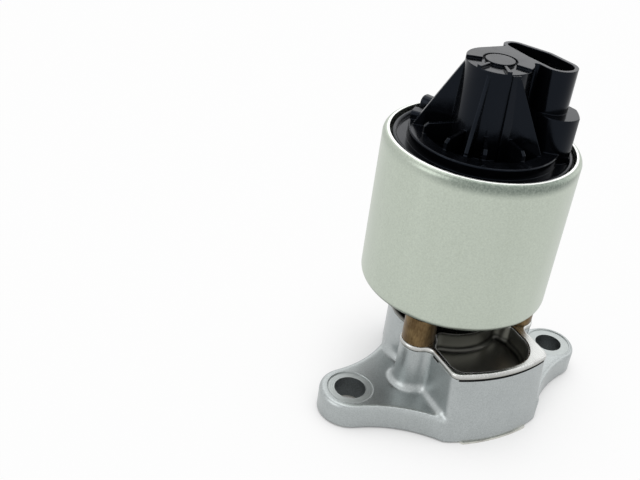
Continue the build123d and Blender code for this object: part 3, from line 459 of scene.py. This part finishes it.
@dataclass(frozen=True)
class MouldedPlastic(Finish):
    """Injection-moulded plastic: a faint orange peel, and for filled nylon a slightly cloudy gloss."""

    peel_mm: float = 1.6
    depth_mm: float = 0.012
    cloud_mm: float = 7.0
    spread: float = 0.06       # of the roughness
    light: str = "#161617"

    def pattern(self, draw: Drawing) -> Relief:
        """Draw orange peel and a cloudy gloss.

        Args:
            draw: The material.

        Returns:
            The height of the peel, and its depth in millimetres.
        """
        peel = draw.add("ShaderNodeTexNoise", {"Vector": draw.where, "Scale": per_metre(self.peel_mm),
                                               "Detail": 2.0, "Roughness": 0.45})
        clouds = draw.add("ShaderNodeTexNoise", {"Vector": draw.where, "Scale": per_metre(self.cloud_mm),
                                                 "Detail": 3.0, "Roughness": 0.55, "Distortion": 0.4})
        draw.feed("Base Color", draw.add("ShaderNodeValToRGB", (clouds,), ((0.3, self.tint), (0.75, self.light))))
        draw.feed("Roughness", draw.add("ShaderNodeMapRange",
                                        (clouds, 0.3, 0.7, *around(self.roughness, self.spread)),
                                        interpolation_type="SMOOTHSTEP"))
        return peel, self.depth_mm


@dataclass(frozen=True)
class WoundWire(Finish):
    """Enamelled copper wire in level turns: glossy brown-red ridges, with painted shade in the grooves between
    them.
    """

    wire_mm: float = 0.5
    depth_mm: float = 0.12
    groove_shade: str = "#4A1C0C"
    coat: float = 0.6

    def pattern(self, draw: Drawing) -> Relief:
        """Draw one ridge for each turn, with painted shade in the grooves between turns.

        Args:
            draw: The material.

        Returns:
            The height of the turns, and their depth in millimetres.
        """
        turns = draw.add("ShaderNodeTexWave", {"Vector": draw.where, "Scale": per_metre(self.wire_mm * math.tau)},
                         **Turning.OUTSIDE.value).outputs["Fac"]
        draw.shader.inputs["Coat Weight"].default_value = self.coat
        # Painted shade in the grooves between turns.
        draw.feed("Base Color", draw.add("ShaderNodeValToRGB", (turns,), ((0.0, self.groove_shade), (0.5, self.tint))))
        return turns, self.depth_mm


# Shot-blasted aluminium casting: bright matt silver with soft hollows.
CAST_SKIN = CastAluminium("cast_aluminium", "#AAAFAF", 0.35, 1.0, 0.4)
# The same alloy, spot-faced with a cutter: brighter, with tool rings.
SPOT_FACE_LEFT, SPOT_FACE_RIGHT = (
    TurnedMetal(f"spot_faced_aluminium_{side}", "#ABB0AF", 0.4, 1.0, 0.2, marks=Turning.FACE,
                centre_mm=(x, 0.0), spread=0.02) for side, x in (("left", -40.0), ("right", 40.0)))
# The step under the cover, painted near black as the shade in the slot under the cover's edge.
PAINTED_SHADE_STEP = CastAluminium("painted_shade_step", "#0E0E0E", 0.8, 0.0, 0.05, dark="#090909", light="#151515")
# The bored holes: dull, their walls darkened as painted shade inside the holes.
SHADED_BORE = CastAluminium("painted_shade_bore", "#74797A", 0.5, 1.0, 0.1, dark="#646869", light="#828788")
# Stainless sheet, rolled and blanked: satin, faintly warm.
GASKET_SHEET = PressedSteel("rolled_stainless", "#CBCBC3", 0.34, 1.0, 0.15, grain_mm=(6.0, 0.3, 0.3))
# Stainless, drawn and polished: almost a mirror with faint draw marks. Its dish is darkened with painted shade,
# darkest in the foot of the dish's wall, and painted shade darkens it under the can round the stem.
SHIELD = PressedSteel("polished_stainless", "#C4C5C3", 0.27, 1.0, 0.3, grain_mm=(0.5, 4.0, 0.5), spread=0.03,
                      depth_mm=0.0015, light="#D0D1CF", dark="#B7B8B6", dish="#969690", dish_z_mm=(24.2, 25.9),
                      foot_shade_z_mm=((19.0, 19.3), (20.2, 21.6)), stem_shade="#30302D", stem_shade_at_mm=STEM_XY,
                      stem_shade_r_mm=(18.6, 20.6))
# Ground valve steel: grey, even, with grinding rings.
VALVE_STEEL = TurnedMetal("ground_valve_steel", "#A9A9A6", 0.3, 1.0, centre_mm=STEM_XY)
# Sintered bronze: dull and porous.
BUSHING = CastAluminium("sintered_bronze", "#A07B45", 0.5, 1.0, 0.2, dark="#7E5E30", light="#B8935C", grit_mm=0.3)
# Graphite-faced sheet: matt black.
GRAPHITE = MouldedPlastic("graphite_sheet", "#151515", 0.7, light="#242424")
# Drawn brass tube, brown plated: low sheen, uneven plating in streaks along its length.
STANDOFF = PressedSteel("brown_plated_brass", "#66543A", 0.36, 1.0, 0.25, grain_mm=(0.45, 0.45, 2.2), spread=0.07,
                        depth_mm=0.008, light="#7C6848", dark="#51402A", cloud_mm=3.5)
# Zinc-plated steel screws.
SCREW = TurnedMetal("zinc_plated_screw", "#A9ABA6", 0.34, 1.0, 0.2)
# Drawn and passivated zinc-plated can, with a painted highlight along its lip and painted shade on its underside.
CAN = ZincPlatedSteel("zinc_plated_can", "#B9C1B5", 0.33, 1.0, 0.3)
# Plated soft iron.
POLE_IRON = TurnedMetal("plated_soft_iron", "#8E8F90", 0.36, 1.0, centre_mm=STEM_XY)
# Drawn thin-wall tube.
SLEEVE = PressedSteel("drawn_tube", "#B8B8B8", 0.3, 1.0, grain_mm=(0.4, 0.4, 12.0))
# Natural glass-filled nylon: cream, satin.
BOBBIN = MouldedPlastic("natural_nylon", "#C8C0AB", 0.45, light="#D6CFBC")
# Enamelled copper wire.
WINDING = WoundWire("enamelled_copper", "#9C4B27", 0.28, 1.0)
# Bright spring wire.
SPRING = TurnedMetal("bright_spring_wire", "#BDBDBB", 0.22, 1.0, pitch_mm=0.3)
# Black glass-filled nylon from a polished mould: deep black, glossy, soft highlights.
CAP_NYLON = MouldedPlastic("black_nylon", "#050608", 0.16, edge_mm=0.4, specular=0.2, specular_tint="#C4D6F2",
                           light="#090A0D", depth_mm=0.008)
# Nitrile rubber: matt black.
SEAL = MouldedPlastic("nitrile_rubber", "#121212", 0.6, light="#1C1C1C", peel_mm=0.8)
# Natural acetal: white, slightly waxy.
ACETAL = MouldedPlastic("natural_acetal", "#DAD7CC", 0.35, light="#E4E1D8")
# Tin-plated brass: bright, soft sheen.
CONTACT = TurnedMetal("tin_plated_brass", "#CFCABE", 0.26, 1.0, 0.1, pitch_mm=0.3)
# Printed resistor board.
BOARD = MouldedPlastic("resistor_board", "#1E3A26", 0.4, light="#27482F")


# ---------------------------------------------------------------- modelling helpers
def select_only(obj: bpy.types.Object) -> None:
    """Deselect everything and make one object the selected, active one.

    Args:
        obj: The object.
    """
    bpy.ops.object.select_all(action="DESELECT")
    obj.select_set(True)
    bpy.context.view_layer.objects.active = obj


@contextmanager
def editing(obj: bpy.types.Object) -> Iterator[bmesh.types.BMesh]:
    """Edit an object, starting with nothing selected.

    Args:
        obj: Mesh object to edit.

    Yields:
        Its edit mesh, for picking faces and edges.
    """
    select_only(obj)
    bpy.ops.object.mode_set(mode="EDIT")
    bpy.ops.mesh.select_all(action="DESELECT")
    bpy.context.tool_settings.mesh_select_mode = (False, False, True)
    try:
        yield bmesh.from_edit_mesh(obj.data)
    finally:
        bpy.ops.object.mode_set(mode="OBJECT")


def pick_faces(mesh: bmesh.types.BMesh, wanted: Callable[[bmesh.types.BMFace], bool]) -> None:
    """Select the faces that pass a test and nothing else.

    Args:
        mesh: Edit mesh.
        wanted: Test of a face.
    """
    for face in mesh.faces:
        face.select_set(False)
    for face in mesh.faces:
        if wanted(face):
            face.select_set(True)


def modify(obj: bpy.types.Object, kind: str, **settings: object) -> None:
    """Add one modifier with its settings and apply it.

    Args:
        obj: Mesh object that gets it.
        kind: Blender's name of the modifier type.
        **settings: Properties of the modifier.
    """
    select_only(obj)
    modifier = obj.modifiers.new(kind.lower(), kind)
    for name, value in settings.items():
        setattr(modifier, name, value)
    bpy.ops.object.modifier_apply(modifier=modifier.name)


def copy_of_node(nodes: Packed, name: str, new_name: str) -> bpy.types.Object:
    """Copy a node's mesh to a new object, with its doubled vertices merged.

    Args:
        nodes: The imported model's nodes.
        name: Node to copy.
        new_name: Name of the piece.

    Returns:
        The new object, at the origin.
    """
    mesh = nodes[name].data.copy()
    mesh.materials.clear()
    piece = bpy.data.objects.new(new_name, mesh)
    bpy.context.scene.collection.objects.link(piece)
    with editing(piece):
        bpy.ops.mesh.select_all(action="SELECT")
        bpy.ops.mesh.remove_doubles(threshold=DOUBLES_MM * MM)
        bpy.ops.mesh.customdata_custom_splitnormals_clear()
    return piece


def cylinder(name: str, radius_mm: float, low_mm: float, high_mm: float, at_mm: Pair,
             sides: int = 96) -> bpy.types.Object:
    """Add an upright cylinder between two levels, its place in its mesh.

    Args:
        name: Name of the object.
        radius_mm: Its radius.
        low_mm: Its lower level.
        high_mm: Its upper level.
        at_mm: Plan point of its axis.
        sides: Number of sides.

    Returns:
        The new object.
    """
    bpy.ops.object.select_all(action="DESELECT")
    bpy.ops.mesh.primitive_cylinder_add(vertices=sides, radius=radius_mm * MM, depth=(high_mm - low_mm) * MM,
                                        location=(at_mm[0] * MM, at_mm[1] * MM, (low_mm + high_mm) / 2 * MM))
    made = bpy.context.active_object
    made.name = name
    bpy.ops.object.transform_apply(location=True, rotation=True, scale=True)
    return made


def block(name: str, low_mm: Point, high_mm: Point) -> bpy.types.Object:
    """Add a block between two corners, its place in its mesh.

    Args:
        name: Name of the object.
        low_mm: Its lowest corner.
        high_mm: Its highest corner.

    Returns:
        The new object.
    """
    middle = [(a + b) / 2 * MM for a, b in zip(low_mm, high_mm)]
    lengths = [(b - a) * MM for a, b in zip(low_mm, high_mm)]
    bpy.ops.object.select_all(action="DESELECT")
    bpy.ops.mesh.primitive_cube_add(size=1.0, location=middle, scale=lengths)
    made = bpy.context.active_object
    made.name = name
    bpy.ops.object.transform_apply(location=True, rotation=True, scale=True)
    return made


def finish_piece(piece: bpy.types.Object, finish: Finish, replaced: str,
                 smooth_deg: float = 40.0) -> None:
    """Dress a piece, shade it and tie it to the valve's body.

    Args:
        piece: Finished mesh object.
        finish: Its finish, put in the first slot if the mesh has none.
        replaced: Node that it stands for.
        smooth_deg: Edges sharper than this stay sharp.
    """
    if not piece.data.materials:
        piece.data.materials.append(finish.material())
    select_only(piece)
    bpy.ops.object.shade_smooth_by_angle(angle=math.radians(smooth_deg))
    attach(piece, VALVE_BODY)
    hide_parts(replaced)
    log.info("%s: %d faces, %s", piece.name, len(piece.data.polygons), finish.name)


def dress_nodes(nodes: Packed, finish: Finish, names: Iterable[str]) -> None:
    """Give a finish to nodes whose shape is already right.

    Args:
        nodes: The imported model's nodes.
        finish: The finish that they all get.
        names: Which nodes.
    """
    for name in names:
        slots = nodes[name].data.materials
        slots.clear()
        slots.append(finish.material())
        log.info("%s: %s", name, finish.name)


# ---------------------------------------------------------------- sub-assemblies
@dataclass
class BaseCasting:
    """The eared base: a rounded cast skin, then the cuts that a machinist makes in it."""

    base_mm: float = 0.6            # underside, on the gasket
    seat_mm: float = 24.3           # machined seat of the cover
    ear_mm: float = 8.7             # top of the ears
    spot_depth_mm: float = 0.3
    spot_radius_mm: float = 7.4
    holes_mm: tuple[Pair, Pair] = ((-40.0, 5.1), (40.0, 4.55))  # place along the ears, and radius
    step_mm: Pair = (0.55, 0.65)    # depth and height of the step under the cover
    step_half_mm: float = 16.2      # half length of the step along the front
    step_back_mm: float = 5.0       # how far behind the crown the step's ends may reach
    front_mm: Pair = (-25.7, 48.35)     # crown of the front at the seat, and the radius of its bow
    bow_sides: int = 720
    notch_mm: Point = (-17.81, -13.3, -10.1)    # left wall, and the notch's ends along it
    grid_mm: float = 0.5            # size of the skin's cells
    smoothing: Pair = (0.5, 5)      # strength and passes that round the skin
    extra_mm: float = 1.6           # stock left on faces that are cut flat
    plug_bite_mm: float = 0.4       # how far a plug reaches into its hole's wall
    pad_mm: Pair = (0.2, 3.0)       # stock round a spot face: how much wider, and how deep
    clear_mm: float = 2.0           # how far a cutter reaches past the metal
    smooth_deg: float = 35.0

    def build(self, nodes: Packed) -> None:
        """Build the casting.

        Args:
            nodes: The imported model's nodes.
        """
        skin = copy_of_node(nodes, "base_casting", "cast_base")
        self.add_stock(skin)
        self.round_skin(skin)
        self.cut_flat(skin)
        self.cut_holes(skin)
        self.cut_step(skin)
        finish_piece(skin, CAST_SKIN, "base_casting", self.smooth_deg)

    def add_stock(self, skin: bpy.types.Object) -> None:
        """Leave stock on the machined faces and the step, and fill the mounting holes.

        Args:
            skin: The casting.
        """
        depth, height = self.step_mm
        ledge, lean = self.seat_mm - height, depth / 4     # leaning stock overlaps the wall behind it
        front = self.notch_mm[1]
        for level, move, wanted in (
                (self.seat_mm, (0, 0, self.extra_mm), lambda middle: True),
                (self.base_mm, (0, 0, -self.extra_mm), lambda middle: True),
                (ledge, (0, lean, height + self.extra_mm), lambda middle: middle.y < front * MM),
                (ledge, (lean, 0, height + self.extra_mm), lambda middle: middle.y > front * MM)):
            with editing(skin) as mesh:
                pick_faces(mesh, lambda face: face.normal.z * move[2] > FACING * abs(move[2])
                           and abs(face.calc_center_median().z - level * MM) < LEVEL_MM * MM
                           and wanted(face.calc_center_median()))
                bpy.ops.mesh.extrude_region_move(TRANSFORM_OT_translate={"value": metres(move)})
        wider, deep = self.pad_mm
        plugs = [cylinder(f"plug_{i}", radius + self.plug_bite_mm, self.base_mm - self.extra_mm, self.ear_mm,
                          (x, 0.0)) for i, (x, radius) in enumerate(self.holes_mm)]
        faces = [cylinder(f"face_{i}", self.spot_radius_mm + wider, self.ear_mm - deep, self.ear_mm, (x, 0.0))
                 for i, (x, _) in enumerate(self.holes_mm)]
        bpy.ops.object.select_all(action="DESELECT")
        for part in (*plugs, *faces, skin):
            part.select_set(True)
        bpy.context.view_layer.objects.active = skin
        bpy.ops.object.join()

    def round_skin(self, skin: bpy.types.Object) -> None:
        """Round every edge and corner as a casting's are.

        Args:
            skin: The casting.
        """
        modify(skin, "REMESH", mode="VOXEL", voxel_size=self.grid_mm * MM, use_smooth_shade=True)
        strength, passes = self.smoothing
        modify(skin, "SMOOTH", factor=strength, iterations=passes)

    def cut_flat(self, skin: bpy.types.Object) -> None:
        """Machine the seat of the cover and the underside flat.

        Args:
            skin: The casting.
        """
        for level, way in ((self.seat_mm, 1.0), (self.base_mm, -1.0)):
            with editing(skin):
                bpy.ops.mesh.select_all(action="SELECT")
                bpy.ops.mesh.bisect(plane_co=(0, 0, level * MM), plane_no=(0, 0, way), use_fill=True,
                                    clear_outer=True)

    def cut_holes(self, skin: bpy.types.Object) -> None:
        """Drill and spot-face the two ears.

        Args:
            skin: The casting.
        """
        skin.data.materials.clear()
        skin.data.materials.append(CAST_SKIN.material())
        top = self.ear_mm + 2 * self.clear_mm
        for (x, radius), spot_face in zip(self.holes_mm, (SPOT_FACE_LEFT, SPOT_FACE_RIGHT)):
            self.cut(skin, cylinder("spot_cutter", self.spot_radius_mm, self.ear_mm - self.spot_depth_mm, top,
                                    (x, 0.0)), spot_face)
            # The drilled walls get the painted shade of the holes.
            self.cut(skin, cylinder("drill", radius, self.base_mm - self.clear_mm, top, (x, 0.0)), SHADED_BORE)

    def cut_step(self, skin: bpy.types.Object) -> None:
        """Cut the step along the front of the seat and the notch in the left wall.

        Args:
            skin: The casting.
        """
        depth, height = self.step_mm
        clear, half = self.clear_mm, self.step_half_mm
        ledge, top = self.seat_mm - height, self.seat_mm + clear
        crown, bow = self.front_mm
        wall, near, far = self.notch_mm
        step = block("step_cutter", (-half, crown - 2 * clear, ledge), (half, crown + self.step_back_mm, top))
        inner = cylinder("step_wall", bow, ledge - clear / 2, top + clear / 2, (0.0, crown + depth + bow),
                         self.bow_sides)
        modify(step, "BOOLEAN", operation="DIFFERENCE", object=inner, solver="EXACT")
        bpy.data.objects.remove(inner)
        # The step's and the notch's faces get near-black painted shade.
        self.cut(skin, step, PAINTED_SHADE_STEP)
        self.cut(skin, block("notch_cutter", (wall - clear, near, ledge), (wall + depth, far, top)), PAINTED_SHADE_STEP)

    @staticmethod
    def cut(skin: bpy.types.Object, cutter: bpy.types.Object, finish: Finish) -> None:
        """Cut a shape out of the casting and remove the cutter.

        Args:
            skin: The casting.
            cutter: What is cut away.
            finish: Finish of the faces that the cut leaves.
        """
        cutter.data.materials.clear()
        cutter.data.materials.append(finish.material())
        modify(skin, "BOOLEAN", operation="DIFFERENCE", object=cutter, solver="EXACT", material_mode="TRANSFER")
        bpy.data.objects.remove(cutter)


@dataclass
class GasSide:
    """Gasket, seat, pintle and bushing, whose shapes are already right."""

    def build(self, nodes: Packed) -> None:
        """Dress the gas side.

        Args:
            nodes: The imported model's nodes.
        """
        dress_nodes(nodes, GASKET_SHEET, ("base_gasket",))
        dress_nodes(nodes, VALVE_STEEL, ("valve_seat", "pintle", "armature_clip"))
        dress_nodes(nodes, BUSHING, ("stem_bushing",))
        dress_nodes(nodes, GRAPHITE, ("cover_gasket",))
        dress_nodes(nodes, SHIELD, ("gas_shield_plate",))


@dataclass
class Standoffs:
    """Turned columns between the cover and the can, and the screws inside them."""

    sides: tuple[str, ...] = ("left", "right", "rear")

    def build(self, nodes: Packed) -> None:
        """Dress the columns and screws."""
        dress_nodes(nodes, STANDOFF, [f"standoff_{side}" for side in self.sides])
        dress_nodes(nodes, SCREW, ("standoff_screws",))


@dataclass
class Solenoid:
    """Can, poles, winding and armature."""

    def build(self, nodes: Packed) -> None:
        """Dress the solenoid.

        Args:
            nodes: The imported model's nodes.
        """
        dress_nodes(nodes, CAN, ("solenoid_can",))
        dress_nodes(nodes, POLE_IRON, ("lower_pole_piece", "upper_pole_piece", "armature"))
        dress_nodes(nodes, SLEEVE, ("armature_sleeve",))
        dress_nodes(nodes, BOBBIN, ("coil_bobbin",))
        dress_nodes(nodes, WINDING, ("coil_winding",))


@dataclass
class Springs:
    """The two coil springs, each copied from its node and dressed as it stands."""

    travels: Mapping[str, float]    # travel of each joint, in metres
    lifted_by: tuple[tuple[str, str], ...] = (("return_spring", "pintle_lift"),
                                              ("sensor_spring", "sensor_slide"))

    def build(self, nodes: Packed) -> None:
        """Build both springs.

        Args:
            nodes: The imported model's nodes.
        """
        for name, joint in self.lifted_by:
            coil = copy_of_node(nodes, name, f"{name}_coil")
            finish_piece(coil, SPRING, name)
            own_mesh(coil)


@dataclass
class SensorCap:
    """Ribbed cap with its tower, connector and position sensor."""

    terminals: int = 5

    def build(self, nodes: Packed) -> None:
        """Dress the cap and what it carries.

        Args:
            nodes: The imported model's nodes.
        """
        dress_nodes(nodes, CAP_NYLON, ("sensor_cap",))
        dress_nodes(nodes, SEAL, ("cap_seal",))
        dress_nodes(nodes, ACETAL, ("sensor_plunger", "wiper_carriage"))
        dress_nodes(nodes, CONTACT, ["wiper_contacts", *(f"terminal_{i + 1}" for i in range(self.terminals))])
        dress_nodes(nodes, BOARD, ("resistor_element",))


# ---------------------------------------------------------------- studio
@dataclass
class Studio:
    """White seamless floor, soft lamps and the camera."""

    camera_mm: Point = (-160.35, -187.28, 198.31)
    heading_deg: float = 28.65
    pitch_deg: float = 31.486
    roll_deg: float = 7.433
    lens_mm: float = 50.28
    sensor_mm: float = 36.0
    near_m: float = 0.01            # nothing nearer to the camera is drawn
    # name, direction to the lamp, distance, size across, size up, power
    lamps: tuple[tuple[str, Point, float, float, float, float], ...] = (
        ("overhead_softbox", (0.1, 0.2, 1.0), 0.8, 0.8, 0.6, 1.9),
        ("rear_softbox", (0.42, 0.78, 0.55), 0.9, 0.9, 0.5, 0.85),
        ("left_softbox", (-1.0, -0.1, 0.35), 0.8, 0.5, 0.7, 1.25),
        ("right_softbox", (1.0, -0.1, 0.45), 0.8, 0.5, 0.7, 0.6),
    )
    aim_mm: Point = (0.0, 5.0, 50.0)
    world_level: float = 0.42       # plain light from all round
    floor_m: float = 12.0
    paper: str = "#F6F6F6"
    floor_glow: float = 0.95        # share of plain white in the open floor where it is seen
    contact_m: float = 0.04         # how near the valve the floor's white gives way to its shadow
    contact_samples: int = 8

    def build(self) -> None:
        """Build the whole studio."""
        self.place_camera()
        self.hang_lamps()
        self.light_world()
        self.lay_floor()
        bpy.context.scene.view_settings.view_transform = "Standard"

    def place_camera(self) -> None:
        """Place the camera."""
        heading, pitch, roll = (math.radians(a) for a in (self.heading_deg, self.pitch_deg, self.roll_deg))
        level = Vector((math.sin(heading), math.cos(heading), 0.0))
        look = math.cos(pitch) * level - Vector((0.0, 0.0, math.sin(pitch)))
        right = Vector((math.cos(heading), -math.sin(heading), 0.0))
        up = right.cross(look)
        tilted_right = math.cos(roll) * right + math.sin(roll) * up
        tilted_up = -math.sin(roll) * right + math.cos(roll) * up
        data = bpy.data.cameras.new("camera")
        data.lens, data.sensor_width, data.clip_start = self.lens_mm, self.sensor_mm, self.near_m
        camera = bpy.data.objects.new("camera", data)
        bpy.context.scene.collection.objects.link(camera)
        turn = Matrix((tilted_right, tilted_up, -look)).transposed().to_4x4()
        camera.matrix_world = Matrix.Translation(Vector(self.camera_mm) * MM) @ turn
        bpy.context.scene.camera = camera

    def hang_lamps(self) -> None:
        """Hang the soft lamps, each turned to the valve."""
        aim = Vector(self.aim_mm) * MM
        for name, way, distance, across, up, power in self.lamps:
            data = bpy.data.lights.new(name, "AREA")
            data.shape, data.size, data.size_y, data.energy = "RECTANGLE", across, up, power
            lamp = bpy.data.objects.new(name, data)
            bpy.context.scene.collection.objects.link(lamp)
            direction = Vector(way).normalized()
            lamp.location = aim + direction * distance
            lamp.rotation_euler = direction.to_track_quat("Z", "Y").to_euler()

    @staticmethod
    def seen_rays(tree: bpy.types.NodeTree) -> Node:
        """One for rays that show the surroundings, straight, mirrored or through glass.

        Args:
            tree: Node tree that gets the nodes.

        Returns:
            The node that gives nought or one.
        """
        ray = add_node(tree, "ShaderNodeLightPath").outputs
        mirrored = add_node(tree, "ShaderNodeMath", (ray["Is Glossy Ray"], ray["Is Transmission Ray"]),
                            operation="MAXIMUM")
        return add_node(tree, "ShaderNodeMath", (ray["Is Camera Ray"], mirrored), operation="MAXIMUM")

    def light_world(self) -> None:
        """Even pale surroundings, white where they are seen or mirrored."""
        world = bpy.data.worlds.new("studio_world")
        world.use_nodes = True
        bpy.context.scene.world = world
        tree = world.node_tree
        tree.nodes.clear()
        plain = add_node(tree, "ShaderNodeBackground", {"Color": (1, 1, 1, 1), "Strength": self.world_level})
        white = add_node(tree, "ShaderNodeBackground", {"Color": (1, 1, 1, 1), "Strength": 1.0})
        mixed = add_node(tree, "ShaderNodeMixShader", (self.seen_rays(tree), plain, white))
        add_node(tree, "ShaderNodeOutputWorld", {"Surface": mixed})

    def lay_floor(self) -> None:
        """Lay the white sweep that the valve stands on."""
        bpy.ops.object.select_all(action="DESELECT")
        bpy.ops.mesh.primitive_grid_add(x_subdivisions=4, y_subdivisions=4, size=self.floor_m)
        floor = bpy.context.active_object
        floor.name = "studio_floor"
        made = bpy.data.materials.new("white_sweep")
        made.use_nodes = True
        tree = made.node_tree
        tree.nodes.clear()
        paper = add_node(tree, "ShaderNodeBsdfDiffuse", {"Color": to_linear(self.paper)})
        glow = add_node(tree, "ShaderNodeEmission", {"Color": (1, 1, 1, 1), "Strength": 1.0})
        openness = add_node(tree, "ShaderNodeAmbientOcclusion", {"Distance": self.contact_m},
                            samples=self.contact_samples).outputs["AO"]
        share = add_node(tree, "ShaderNodeMapRange", (openness, 0.0, 1.0, 0.0, self.floor_glow),
                         interpolation_type="SMOOTHSTEP")
        share = add_node(tree, "ShaderNodeMath", (self.seen_rays(tree), share), operation="MULTIPLY")
        mixed = add_node(tree, "ShaderNodeMixShader", (share, paper, glow))
        add_node(tree, "ShaderNodeOutputMaterial", {"Surface": mixed})
        floor.data.materials.append(made)


def main() -> None:
    """Build the studio and each sub-assembly in order."""
    logging.basicConfig(level=logging.INFO, format="%(name)s: %(message)s")
    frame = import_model()
    nodes = frame["nodes"]
    Studio().build()
    BaseCasting().build(nodes)
    travels = {joint["name"]: joint["range_m"][1] for joint in frame["joints"]}
    for part in (GasSide(), Standoffs(), Solenoid(), Springs(travels), SensorCap()):
        part.build(nodes)
        log.info("%s dressed", type(part).__name__)


if __name__ == "__main__":
    main()
